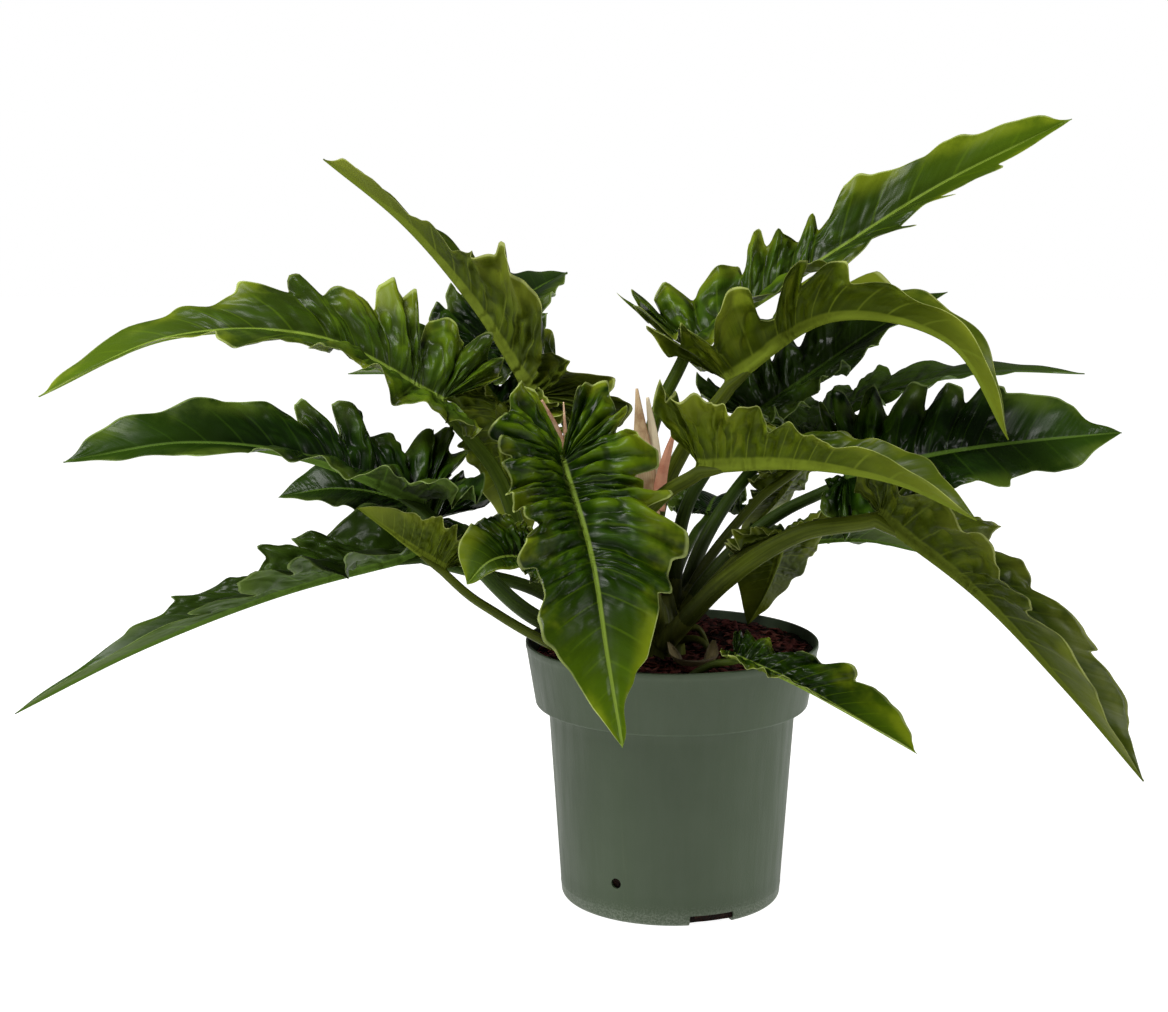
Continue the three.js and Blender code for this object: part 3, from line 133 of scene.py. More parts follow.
# One row a leaf. Fold, roll and curl are in degrees at the base and at the tip, heel in
# degrees on each side, and the stalk's thickness is at its foot and at the blade. Shade
# darkens the leaf's tone, and lightens it below 0: partly the leaf's own tone, partly painted
# shade on leaves that lie in shadow and painted light on leaves that show paler. Pleats are
# the bulges across a lobe.
# Edges are its own margins, each side as places along it and how far it reaches there;
# at both ends it reaches all the way.
LEAF_FIELDS = ("name", "tone", "shade", "seed", "width", "back", "fold", "roll", "curl", "heel",
               "lobes", "cut", "ruffle", "pleats", "stalk", "petiole", "midrib", "edges")
LEAF_ROWS = [
    ("leaf_upper_left", "bright", -0.1, 1, 132, 42, (30, 15), (-38, -5), (10, 10), (15, -10), 11, 0.28,
     7, 1, (8, 5.5),
     [(-50, 0, 220), (-116, 2, 283), (-150, -4, 371), (-196, -20, 438)],
     [(-196, -20, 438), (-297, -50, 494), (-414, -80, 497), (-520, -100, 450)],
     [[(0.12, 0.9), (0.2, 1), (0.27, 0.8), (0.33, 1), (0.38, 0.8), (0.42, 1.05), (0.445, 1),
       (0.458, 0.6), (0.47, 1.2), (0.485, 1.12), (0.5, 1.18), (0.52, 1.12), (0.535, 0.82), (0.55, 0.97),
       (0.585, 0.95), (0.605, 0.86), (0.62, 0.98), (0.64, 1), (0.655, 0.82), (0.68, 1), (0.7, 1.03),
       (0.73, 0.86), (0.77, 0.8), (0.8, 0.9), (0.83, 0.84), (0.87, 1), (0.92, 1.25), (0.97, 1.5)],
      [(0.15, 0.9), (0.22, 0.75), (0.3, 0.9), (0.37, 0.7), (0.43, 0.9), (0.47, 0.75), (0.52, 0.88),
       (0.56, 0.62), (0.58, 1.25), (0.6, 1.25), (0.615, 0.6), (0.66, 0.9), (0.7, 1.2), (0.73, 1.15),
       (0.77, 0.85), (0.82, 0.75), (0.9, 0.7)]]),
    ("leaf_mid_left", "dark", 0, 2, 135, 35, (42, 20), (-17, -32), (25, 10), (35, 35), 10, 0.3, 7, 1,
     (8, 6),
     [(-50, -5, 218), (-122, -38, 258), (-172, -70, 316), (-206, -92, 363)],
     [(-206, -92, 363), (-294, -135, 406), (-384, -175, 423), (-473, -210, 413)],
     [[(0.15, 1), (0.25, 0.9), (0.33, 1.02), (0.4, 0.98), (0.43, 0.68), (0.46, 0.72), (0.5, 0.76),
       (0.54, 0.86), (0.565, 0.96), (0.578, 0.92), (0.59, 0.5), (0.605, 0.62), (0.625, 0.95),
       (0.635, 0.92), (0.645, 0.7), (0.67, 0.76), (0.7, 0.84), (0.75, 0.93), (0.8, 1.03), (0.85, 0.97),
       (0.9, 1.22), (0.95, 1.35)],
      [(0.1, 0.9), (0.2, 0.75), (0.28, 1), (0.36, 0.8), (0.42, 1), (0.47, 0.75), (0.52, 1), (0.57, 0.8),
       (0.62, 1), (0.68, 0.85), (0.72, 1.1), (0.755, 0.8), (0.8, 1.2), (0.85, 0.9), (0.9, 1.05)]]),
    ("leaf_low_left", "dark", -0.3, 3, 100, 55, (48, 40), (-10, 5), (25, 10), (35, -25), 10, 0.3, 8, 2,
     (6.5, 5),
     [(-50, -8, 232), (-116, -15, 273), (-168, -18, 289), (-215, -26, 307)],
     [(-215, -26, 307), (-327, -85, 284), (-430, -142, 250), (-525, -190, 206)],
     [[(0.08, 0.9), (0.16, 1), (0.22, 0.75), (0.3, 1), (0.36, 0.8), (0.4, 1), (0.44, 1.15),
       (0.48, 1.12), (0.495, 0.72), (0.51, 0.75), (0.53, 0.92), (0.55, 1.03), (0.562, 0.82),
       (0.58, 0.9), (0.61, 0.98), (0.625, 0.75), (0.65, 0.68), (0.7, 0.77), (0.73, 0.92), (0.75, 1),
       (0.77, 0.82), (0.8, 0.76), (0.83, 0.88), (0.86, 0.75), (0.92, 0.7)],
      [(0.1, 1), (0.18, 0.8), (0.25, 1.1), (0.33, 0.8), (0.4, 1.1), (0.44, 1), (0.465, 1.3), (0.5, 1.4),
       (0.52, 1.05), (0.535, 0.75), (0.55, 1.3), (0.575, 1.45), (0.595, 1.05), (0.61, 1.15),
       (0.65, 1.35), (0.665, 1.2), (0.68, 0.7), (0.71, 0.9), (0.745, 1.15), (0.76, 0.55), (0.8, 0.7),
       (0.85, 0.75), (0.92, 0.8)]]),
    ("leaf_small_left", "olive", 0.15, 4, 80, 20, (60, 45), (20, 20), (20, 10), (10, 10), 6, 0.15, 4, 1,
     (5, 3.5),
     [(-52, -6, 212), (-84, -50, 227), (-116, -85, 250), (-157, -115, 284), (-185, -126, 314)],
     [(-185, -126, 314), (-208, -130, 330), (-231, -130, 347), (-256, -126, 364)], None),
    ("leaf_shaded_left", "dark", 0, 5, 120, 40, (20, 20), (-30, -30), (20, 10), (15, 15), 7, 0.25, 5, 1,
     (5.5, 4),
     [(-50, 10, 240), (-121, 38, 281), (-168, 58, 304), (-209, 66, 320)],
     [(-209, 66, 320), (-255, 64, 341), (-301, 60, 348), (-350, 54, 341)], None),
    ("leaf_tall_left", "olive", 0.3, 6, 124, 85, (45, 50), (30, 20), (15, 10), (10, 25), 10, 0.2, 6, 2,
     (8, 6),
     [(-42, 12, 235), (-72, 30, 317), (-95, 48, 379), (-121, 60, 431)],
     [(-121, 60, 431), (-175, 95, 507), (-242, 135, 577), (-322, 175, 635)],
     [[(0.1, 0.9), (0.17, 0.7), (0.24, 0.9), (0.3, 0.7), (0.37, 0.9), (0.43, 0.65), (0.5, 0.85),
       (0.55, 0.7), (0.6, 0.85), (0.66, 0.7), (0.72, 0.6), (0.78, 0.65), (0.81, 0.6), (0.85, 0.4),
       (0.9, 0.7), (0.95, 1.2)],
      [(0.1, 0.95), (0.2, 1), (0.27, 0.95), (0.3, 1.02), (0.35, 1), (0.4, 0.96), (0.43, 0.74),
       (0.445, 0.8), (0.47, 1.05), (0.52, 1.2), (0.57, 1.35), (0.585, 1.33), (0.6, 1.1), (0.65, 0.9),
       (0.7, 0.66), (0.74, 0.5), (0.77, 0.55), (0.8, 0.6), (0.825, 0.5), (0.85, 0.42), (0.88, 0.55),
       (0.91, 0.9), (0.95, 1.4)]]),
    ("leaf_back_left", "dark", 0, 7, 110, 50, (20, 30), (20, 0), (20, 10), (10, 10), 7, 0.2, 6, 1,
     (7, 5),
     [(-38, 14, 240), (-72, 76, 342), (-112, 132, 425), (-182, 165, 459)],
     [(-182, 165, 459), (-162, 225, 490), (-131, 295, 508), (-106, 355, 518)], None),
    ("leaf_inner_left", "dark", 0, 8, 115, 15, (20, 25), (-5, -5), (20, 10), (10, 10), 7, 0.3, 6, 1,
     (6.5, 4.5),
     [(-44, 20, 245), (-95, 58, 327), (-119, 82, 372), (-142, 100, 396)],
     [(-142, 100, 396), (-193, 128, 427), (-248, 158, 439), (-303, 178, 437)], None),
    ("leaf_pale_back", "olive", 0, 9, 105, 15, (10, 20), (0, 0), (20, 10), (0, 0), 6, 0.35, 6, 1,
     (6, 4.8),
     [(-50, 10, 238), (-102, 12, 338), (-135, 10, 410), (-148, 8, 431)],
     [(-148, 8, 431), (-149, 34, 388), (-142, 52, 341), (-130, 62, 299)], None),
    ("leaf_front", "bright", 0, 10, 158, 70, (42, 5), (-8, 0), (30, 20), (0, 0), 9, 0.28, 7, 2.5,
     (8, 6),
     [(-48, -10, 230), (-72, -35, 300), (-84, -50, 350), (-92, -62, 392)],
     [(-92, -62, 392), (-66, -130, 326), (-51, -185, 255), (-38, -225, 193)],
     [[(0.08, 0.85), (0.15, 1), (0.2, 0.88), (0.25, 0.82), (0.27, 0.72), (0.31, 0.8), (0.365, 1),
       (0.385, 0.84), (0.42, 1.05), (0.44, 0.86), (0.46, 1.05), (0.49, 0.88), (0.51, 1), (0.545, 0.92),
       (0.575, 0.98), (0.595, 0.7), (0.615, 0.95), (0.645, 1.12), (0.66, 1.08), (0.675, 0.88),
       (0.73, 0.94), (0.765, 1.12), (0.8, 1.19), (0.83, 1.08), (0.87, 1), (0.93, 0.95)],
      [(0.1, 0.85), (0.16, 0.95), (0.21, 1.04), (0.25, 0.8), (0.28, 0.76), (0.305, 0.8), (0.33, 0.62),
       (0.36, 0.68), (0.4, 0.8), (0.43, 0.97), (0.45, 0.97), (0.468, 0.7), (0.5, 0.76), (0.52, 0.74),
       (0.54, 1), (0.555, 0.76), (0.58, 0.92), (0.6, 1.14), (0.63, 1.16), (0.655, 1), (0.68, 0.98),
       (0.715, 1.03), (0.728, 0.87), (0.76, 0.9), (0.8, 0.89), (0.85, 0.88), (0.9, 0.68),
       (0.95, 0.45)]]),
    ("leaf_little_front", "bright", 0.2, 11, 92, 18, (15, 15), (-45, -25), (30, 10), (0, 0), 6, 0.1, 3,
     1, (4, 3),
     [(-50, -18, 225), (-78, -75, 262), (-100, -108, 296), (-115, -128, 320)],
     [(-115, -128, 320), (-130, -149, 329), (-147, -166, 327), (-163, -174, 311)],
     [[(0.15, 0.8), (0.28, 0.9), (0.38, 0.7), (0.48, 0.8), (0.6, 1), (0.75, 1.15), (0.88, 1.2)],
      [(0.15, 0.7), (0.3, 0.65), (0.45, 0.55), (0.6, 0.62), (0.75, 0.6), (0.9, 0.55)]]),
    ("leaf_upper_right", "bright", -0.06, 12, 130, 45, (32, 25), (12, 50), (15, 5), (55, 55), 11, 0.3,
     8, 1, (8, 5.5),
     [(-5, 15, 240), (-30, 48, 336), (-18, 72, 405), (10, 95, 473)],
     [(10, 95, 473), (124, 115, 543), (235, 132, 613), (354, 150, 672)],
     [[(0.08, 0.9), (0.15, 0.7), (0.22, 1), (0.3, 0.75), (0.36, 1), (0.42, 0.75), (0.48, 0.95),
       (0.54, 0.75), (0.6, 0.9), (0.64, 0.75), (0.69, 0.85), (0.735, 1.05), (0.748, 0.75), (0.78, 0.86),
       (0.812, 1.02), (0.823, 0.7), (0.85, 0.86), (0.877, 1.12), (0.9, 0.78), (0.94, 0.75)],
      [(0.08, 0.9), (0.14, 0.75), (0.2, 1), (0.26, 0.75), (0.32, 1), (0.37, 0.7), (0.41, 0.95),
       (0.44, 0.75), (0.47, 0.8), (0.5, 0.82), (0.52, 0.84), (0.535, 0.62), (0.548, 0.85),
       (0.565, 0.97), (0.58, 0.72), (0.6, 0.82), (0.615, 0.68), (0.635, 0.62), (0.65, 0.8),
       (0.658, 0.8), (0.672, 0.58), (0.69, 0.62), (0.702, 0.97), (0.72, 1.03), (0.75, 0.94),
       (0.8, 0.87), (0.825, 0.87), (0.842, 1.05), (0.86, 1.12), (0.885, 1.04), (0.92, 1.2),
       (0.96, 1.45)]]),
    ("leaf_young_right", "olive", 0, 13, 126, 48, (50, 42), (-15, -15), (25, 10), (45, 40), 10, 0.36, 9,
     1, (8, 6),
     [(-8, 5, 245), (-14, 18, 332), (12, 14, 398), (46, 8, 452)],
     [(46, 8, 452), (131, -25, 510), (224, -65, 495), (272, -95, 418)],
     [[(0.1, 1), (0.18, 0.8), (0.25, 1), (0.32, 0.75), (0.38, 0.9), (0.42, 0.6), (0.46, 0.85),
       (0.49, 1), (0.525, 1), (0.54, 0.55), (0.57, 0.5), (0.585, 1), (0.6, 1.1), (0.612, 0.7),
       (0.63, 0.9), (0.655, 0.95), (0.68, 0.78), (0.72, 0.8), (0.78, 0.8), (0.85, 0.85)],
      [(0.1, 1), (0.2, 0.85), (0.27, 0.85), (0.31, 0.75), (0.34, 0.98), (0.37, 0.9), (0.395, 1.36),
       (0.43, 1.45), (0.455, 0.8), (0.475, 0.55), (0.49, 0.5), (0.505, 1), (0.525, 1.55), (0.545, 1.55),
       (0.56, 1.15), (0.58, 1.1), (0.6, 1.25), (0.63, 1.3), (0.655, 1.28), (0.668, 1.02), (0.7, 1.06),
       (0.75, 1.03), (0.8, 0.98), (0.87, 1)]]),
    ("leaf_behind_young", "dark", -0.15, 14, 95, 30, (35, 25), (20, 15), (20, 10), (30, 30), 9, 0.3, 7,
     1, (7, 5),
     [(0, 18, 240), (8, 35, 325), (34, 48, 375), (66, 62, 412)],
     [(66, 62, 412), (126, 105, 449), (190, 155, 486), (253, 200, 513)], None),
    ("leaf_near_right", "olive", 0.1, 15, 125, 32, (62, 45), (-10, 0), (20, 10), (30, 30), 9, 0.22, 6,
     2, (8, 6),
     [(-10, -8, 240), (-28, -40, 327), (-8, -58, 365), (22, -72, 391)],
     [(22, -72, 391), (100, -118, 400), (173, -168, 395), (233, -215, 373)],
     [[(0.1, 0.95), (0.2, 1), (0.27, 1.05), (0.32, 0.95), (0.36, 1), (0.4, 1.15), (0.43, 1.22),
       (0.455, 0.98), (0.49, 0.95), (0.505, 0.84), (0.52, 0.95), (0.55, 0.86), (0.6, 0.66),
       (0.64, 0.78), (0.68, 0.8), (0.71, 0.6), (0.75, 0.57), (0.79, 0.76), (0.85, 0.88), (0.9, 1)],
      [(0.1, 0.8), (0.16, 0.65), (0.22, 0.8), (0.28, 0.6), (0.34, 0.75), (0.4, 0.55), (0.45, 0.65),
       (0.5, 0.5), (0.55, 0.62), (0.6, 0.5), (0.65, 0.62), (0.7, 0.78), (0.73, 0.72), (0.77, 0.82),
       (0.82, 0.9), (0.86, 1.02), (0.9, 0.95)]]),
    ("leaf_far_right", "dark", -0.7, 16, 100, 35, (15, 10), (5, 5), (20, 10), (10, 10), 9, 0.25, 6, 2,
     (7, 5),
     [(2, 15, 235), (25, 65, 296), (63, 105, 350), (112, 140, 394)],
     [(112, 140, 394), (196, 165, 425), (289, 185, 441), (381, 195, 438)], None),
    ("leaf_flat_right", "dark", 0, 17, 172, 30, (12, 10), (42, 45), (20, 10), (30, 10), 9, 0.28, 6, 1,
     (7, 5),
     [(2, 8, 230), (28, 18, 275), (80, 28, 325), (150, 30, 366)],
     [(150, 30, 366), (225, 18, 388), (303, 5, 402), (379, -10, 412)],
     [[(0.1, 0.85), (0.16, 0.6), (0.22, 0.9), (0.28, 0.65), (0.34, 0.9), (0.39, 0.6), (0.45, 0.85),
       (0.5, 0.6), (0.56, 0.8), (0.6, 0.55), (0.63, 0.62), (0.65, 0.6), (0.67, 0.66), (0.71, 0.72),
       (0.75, 0.9), (0.77, 0.92), (0.79, 0.78), (0.83, 0.82), (0.87, 1.05), (0.91, 1.18), (0.95, 1.1)],
      [(0.08, 0.9), (0.13, 0.65), (0.2, 0.95), (0.26, 0.65), (0.32, 0.95), (0.36, 0.7), (0.41, 1),
       (0.44, 0.75), (0.48, 1), (0.52, 0.7), (0.56, 1), (0.6, 0.98), (0.615, 0.66), (0.64, 0.9),
       (0.68, 0.93), (0.7, 0.76), (0.72, 1), (0.76, 1.07), (0.775, 0.99), (0.82, 1), (0.87, 1.1),
       (0.9, 1.03), (0.95, 0.78)]]),
    ("leaf_long_right", "olive", 0.45, 18, 122, 42, (50, 40), (-10, 0), (20, 10), (-20, 10), 9, 0.22, 6,
     2, (9, 7),
     [(-8, -12, 225), (44, -50, 290), (103, -72, 334), (170, -90, 355)],
     [(170, -90, 355), (247, -130, 298), (313, -160, 230), (375, -180, 157)],
     [[(0.08, 0.9), (0.15, 0.75), (0.22, 0.95), (0.3, 0.8), (0.38, 1), (0.44, 1.05), (0.48, 1.2),
       (0.52, 1.3), (0.54, 1.08), (0.56, 1.02), (0.6, 1.02), (0.63, 0.94), (0.66, 1.15), (0.675, 1.15),
       (0.688, 0.98), (0.72, 1.1), (0.76, 1.25), (0.79, 1.35), (0.82, 1.25), (0.86, 1.1), (0.92, 1)],
      [(0.08, 0.85), (0.15, 0.7), (0.22, 0.9), (0.28, 0.7), (0.35, 0.9), (0.4, 0.75), (0.45, 0.95),
       (0.5, 1.05), (0.525, 1.18), (0.545, 0.95), (0.56, 0.72), (0.58, 0.9), (0.62, 0.9), (0.65, 0.9),
       (0.67, 0.84), (0.7, 1.02), (0.75, 1.2), (0.78, 1.3), (0.79, 1.15), (0.83, 1.28), (0.87, 1.4),
       (0.9, 1.3), (0.93, 1.08)]]),
    ("leaf_grey_right", "dark", 0, 19, 80, 30, (20, 20), (-30, -30), (20, 10), (10, 10), 6, 0.15, 4, 1,
     (5, 3.5),
     [(0, 12, 225), (28, 60, 256), (59, 85, 274), (90, 100, 286)],
     [(90, 100, 286), (133, 105, 295), (179, 108, 295), (221, 112, 285)], None),
    ("leaf_under_right", "olive", 0, 22, 80, 20, (10, 20), (0, 0), (20, 10), (0, 0), 6, 0.15, 4, 1,
     (5, 4),
     [(0, 16, 240), (32, 45, 290), (75, 72, 338), (112, 92, 368)],
     [(112, 92, 368), (102, 118, 342), (84, 138, 314), (62, 150, 290)], None),
    ("leaf_back_right", "dark", 0, 23, 75, 20, (25, 20), (0, 0), (20, 10), (10, 10), 7, 0.2, 5, 1,
     (5, 4),
     [(-5, 25, 238), (5, 80, 272), (20, 130, 296), (32, 175, 306)],
     [(32, 175, 306), (38, 220, 312), (44, 265, 308), (50, 305, 294)], None),
    ("leaf_soil_right", "bright", 0, 20, 60, 12, (38, 35), (28, 10), (20, 10), (10, 10), 7, 0.35, 5, 2,
     (4, 3),
     [(8, -84, 180), (12, -92, 212), (32, -104, 230), (52, -113, 238)],
     [(52, -113, 240), (95, -131, 225), (142, -146, 202), (198, -156, 171)],
     [[(0.1, 0.8), (0.17, 0.6), (0.25, 0.8), (0.32, 0.5), (0.4, 0.75), (0.45, 0.5), (0.5, 0.7),
       (0.53, 0.65), (0.57, 0.35), (0.65, 0.4), (0.75, 0.35), (0.85, 0.4)],
      [(0.08, 0.9), (0.16, 0.7), (0.25, 0.75), (0.33, 0.6), (0.4, 0.72), (0.43, 0.62), (0.46, 0.78),
       (0.51, 0.58), (0.55, 0.85), (0.6, 1.15), (0.66, 1.5), (0.69, 1.5), (0.72, 1.3), (0.76, 1.55),
       (0.8, 1.7), (0.85, 1.75), (0.89, 1.7), (0.93, 1.7), (0.97, 1.5)]]),
    ("leaf_low_olive", "olive", 0.35, 21, 95, 8, (10, 20), (0, 0), (20, 10), (0, 0), 7, 0.12, 5, 1,
     (5, 4),
     [(-2, -2, 228), (25, -6, 267), (60, -12, 306), (95, -12, 324)],
     [(95, -12, 324), (92, 18, 296), (82, 38, 262), (67, 48, 230)], None),
]
LEAVES = [dict(zip(LEAF_FIELDS, row)) for row in LEAF_ROWS]
# The leaf that stands in the bark by itself, without a foot on the crown
LONE_LEAF = "leaf_soil_right"

# Dry sheaths: pointed flaps that open to one side, most on a stalk. A flap's tint
# makes it creamy above 0 and pink below.
SHEATHS = [
    {"name": "sheath_left", "face": "sheath_pink", "radii": [4, 5, 6],
     "stalk": [[-58, -6, 250], [-72, -12, 325], [-92, -20, 384]],
     "flaps": [
         {"points": [[-91, -19, 374], [-99, -24, 412], [-111, -27, 440]], "widths": [14, 10, 1.5],
          "open": [0.5, -0.8, 0], "tint": 0},
         {"points": [[-92, -18, 376], [-92, -22, 410], [-93, -26, 438]], "widths": [12, 7, 1.5],
          "open": [-0.8, -0.4, 0], "tint": 0.4}]},
    {"name": "sheath_right", "face": "sheath_tan", "radii": [6, 7, 9],
     "stalk": [[-14, -4, 258], [-20, -10, 308], [-21, -16, 350]],
     "flaps": [
         {"points": [[-22, -17, 335], [-26, -18, 395], [-31, -18, 449]], "widths": [24, 18, 1.5],
          "open": [0.2, 1, 0], "tint": 0},
         {"points": [[-19, -12, 345], [-16, -13, 395], [-22, -14, 441]], "widths": [16, 12, 1.5],
          "open": [0, 1, 0], "tint": 1},
         {"points": [[-14, -20, 346], [-8, -24, 382], [1, -27, 414]], "widths": [15, 10, 1.5],
          "open": [0.3, 1, 0], "tint": -1}]},
    {"name": "sheath_curled", "face": "sheath_brown",
     "flaps": [
         {"points": [[-3, -30, 232.5], [8, -44, 220.5], [31, -40, 220.5], [36, -26, 233.5]],
          "widths": [3, 15, 17, 3], "open": [0, 0.3, 1], "tint": 0}]},
]
FLAP = 0.6
FLAP_STEPS = 32
FLAP_PLACES = 14
FLAP_BEND = 1.15
SHEATH_RINGS = 30
SHEATH_SIDES = 18

# The stems, from down in the mix to the growing points, and roots over the bark
STEMS = [
    {"points": [[-28, 3, 150], [-44, 1, 205], [-52, -2, 262]], "radii": [13, 19, 11]},
    {"points": [[-22, 4, 150], [-8, 4, 205], [-10, 2, 268]], "radii": [13, 20, 11]},
    {"points": [[-4, 4, 230], [22, 8, 236], [36, 10, 205]], "radii": [4, 3, 2]},
    {"points": [[-4, 0, 224], [24, -12, 230], [42, -18, 203]], "radii": [4, 3, 2]},
]
STEM_RINGS = 24
STEM_SIDES = 20
FOOT_RINGS = 14
FOOT_SIDES = 18
FOOT_FADE = 16
FOOT_SINK = 0.7
SKIN_CELL = 1.5

# How strongly each material reflects
LEAF_SHINE = 0.11
UNDER_SHINE = 0.08
STALK_SHINE = 0.08
POT_SHINE = 0.35
BARK_SHINE = 0.1

# The studio, in metres and watts. Lamps: place, size and power, all turned to AIM.
FLOOR_REACH = 6
FLOOR_STEPS = 24
FLOOR_GLOW = 0.97
WORLD_LIGHT = 0.12
BACKDROP = 1
AIM = (0, 0, 0.35)
LAMPS = {
    "top": ((-0.9, -0.8, 2.2), (0.8, 0.7), 42),
    "left": ((-2.2, -0.5, 1.4), (0.5, 1.1), 25),
    "right": ((2.2, -0.1, 1.1), (0.5, 1.2), 25),
    "front": ((-0.5, -2.6, 1.6), (0.6, 0.6), 6),
}
CAMERA_PLACE = (0, -2.035, 0.700)
CAMERA_TURN = (math.radians(80.1), 0, math.radians(2.15))
SENSOR_WIDTH = 36
CAMERA_LENS = SENSOR_WIDTH * 2400 / 1168


def mix(first, second, share):
    return first + (second - first) * share


def chance(index, seed):
    """A repeatable number from 0 to 1"""
    value = math.sin(index * 12.9898 + seed * 78.233) * 43758.5453
    return value - math.floor(value)


def unit(vectors):
    lengths = np.linalg.norm(vectors, axis=-1, keepdims=True)
    return vectors / np.maximum(lengths, 1e-9)


def smoothstep(value, low, high):
    share = np.clip((value - low) / (high - low), 0, 1)
    return share * share * (3 - 2 * share)


def smooth(values, share):
    """A smooth curve through evenly spaced values or points"""
    values = np.asarray(values, float)
    first = 2 * values[0] - values[1]
    after = 2 * values[-1] - values[-2]
    padded = np.concatenate([[first], values, [after]])
    last = len(values) - 1
    place = np.clip(share, 0, 1) * last
    i = np.minimum(np.floor(place).astype(int), last - 1)
    f = place - i
    if values.ndim == 2:
        f = f[..., None]
    before, a, b, after = (padded[i + k] for k in range(4))
    slope_a = (b - before) / 2
    slope_b = (after - a) / 2
    near = a * (2 * f**3 - 3 * f**2 + 1) + slope_a * (f**3 - 2 * f**2 + f)
    return near + b * (3 * f**2 - 2 * f**3) + slope_b * (f**3 - f**2)


class Path:
    """A smooth curve through points, measured along its length"""

    def __init__(self, points):
        self.samples = smooth(points, np.linspace(0, 1, PATH_STEPS + 1))
        steps = np.linalg.norm(np.diff(self.samples, axis=0), axis=1)
        self.lengths = np.concatenate([[0], np.cumsum(steps)])
        self.total = self.lengths[-1]

    def at(self, distance):
        return np.stack([np.interp(distance, self.lengths, axis) for axis in self.samples.T], -1)

    def along(self, distance):
        step = self.total * 0.02
        return unit(self.at(distance + step) - self.at(distance - step))


# One half's margin as places along it and how far it reaches there: the leaf's
# own list, or notches between even lobes
def margin_points(leaf, side):
    if leaf["edges"]:
        return np.array([(0, 1), *leaf["edges"][1 if side > 0 else 0], (1, 1)], float)
    seed = leaf["seed"] + (0.37 if side > 0 else 0)
    points = [(0, 1)]
    for i in range(1, leaf["lobes"] + 1):
        inner = i < leaf["lobes"]
        before = points[-1][0]
        shift = (chance(i, seed) - 0.5) * LOBE_SHIFT if inner else 0
        q = float(smooth(LOBE_PLACES, np.array((i + shift) / leaf["lobes"])))
        fade = mix(0.3, 1, smoothstep(q, 0.2, 0.4)) * mix(1, 0.15, smoothstep(q, *CALM))
        cut = leaf["cut"] * fade * mix(0.6, 1.3, chance(i + 20, seed))
        depth = min(cut, DEEPEST_CUT) if inner else 0
        points += [(mix(before, q, stop), 1) for stop in SHOULDERS]
        points.append((q, 1 - depth))
    return np.array(points)


# Notches of a margin, with how many waves lie before each
def wave_counts(points):
    notches = [0.0]
    counts = [0]
    last = len(points) - 1
    for i in range(1, last + 1):
        q, reach = points[i]
        if i == last or (reach < points[i - 1, 1] and reach < points[i + 1, 1]):
            counts.append(counts[-1] + max(1, round((q - notches[-1]) / WAVE_SPAN)))
            notches.append(q)
    return notches, counts


# Place of a share of the margin in waves, and how far the margin reaches there
def margin_at(points, q):
    i = np.clip(np.searchsorted(points[:, 0], q, side="right") - 1, 0, len(points) - 2)
    share = smoothstep(q, points[i, 0], points[i + 1, 0])
    return np.interp(q, *wave_counts(points)), mix(points[i, 1], points[i + 1, 1], share)


# The midrib's own frame at a distance from the petiole
def blade_frame(leaf, path, distance, side):
    share = np.clip(distance / path.total, 0, 1)
    tangent = path.along(np.maximum(distance, 0))
    behind = np.minimum(distance, 0)[..., None]
    reach = path.samples[-1] - path.samples[0]
    level = unit(np.array([-reach[1], reach[0], 0]))
    flat = unit(level - tangent * (tangent @ level)[..., None])
    rise = np.cross(tangent, flat)
    roll = np.radians(mix(*leaf["roll"], share))[..., None]
    across = flat * np.cos(roll) + rise * np.sin(roll)
    normal = rise * np.cos(roll) - flat * np.sin(roll)
    heel = math.radians(leaf["heel"][1 if side > 0 else 0])
    at = path.at(np.maximum(distance, 0))
    at = at + tangent * behind * math.cos(heel) - rise * behind * math.sin(heel)
    return at, across, normal


# Tissue that swells between sunken lateral veins and crumples towards the base
def blade_relief(leaf, side, q, t, place, flat_y):
    phase = leaf["seed"] * 1.7 + side
    bowed = place + 0.08 * np.sin(4.3 * place + phase) + 0.05 * np.sin(5 * t + phase)
    vein = np.abs(np.sin(leaf["pleats"] * math.pi * bowed))
    base = 1 - smoothstep(q, *CALM)
    uneven = 0.7 + 0.3 * np.sin(3.1 * place + phase)
    swell = PUFF * leaf["width"] / USUAL_WIDTH * mix(0.2, 1, base) * uneven * vein**0.7
    swell = swell * smoothstep(t, 0, 0.3) * (1 - 0.6 * smoothstep(t, 0.75, 1))
    turn = 2 * math.pi * bowed
    long_fold = np.sin(2.2 * turn + 6 * t + phase) * np.sin(0.6 * turn + 9 * t)
    cross_fold = np.sin(1.1 * turn - 14 * t + 2.1 * phase) * np.sin(1.7 * turn + 7 * t + phase)
    wrinkle = (0.8 * long_fold + 0.9 * cross_fold) * np.sin(math.pi * t) ** 0.5
    fine = np.sin(3 * turn + phase) * t**3
    rim = smoothstep(t, 0.8, 1) * (0.4 + np.sin(1.3 * turn + phase))
    room = base * np.minimum(1, flat_y / WAVE_ROOM)
    return swell + (WRINKLE * wrinkle + FINE_RUFFLE * fine + RIM_CURL * rim) * room


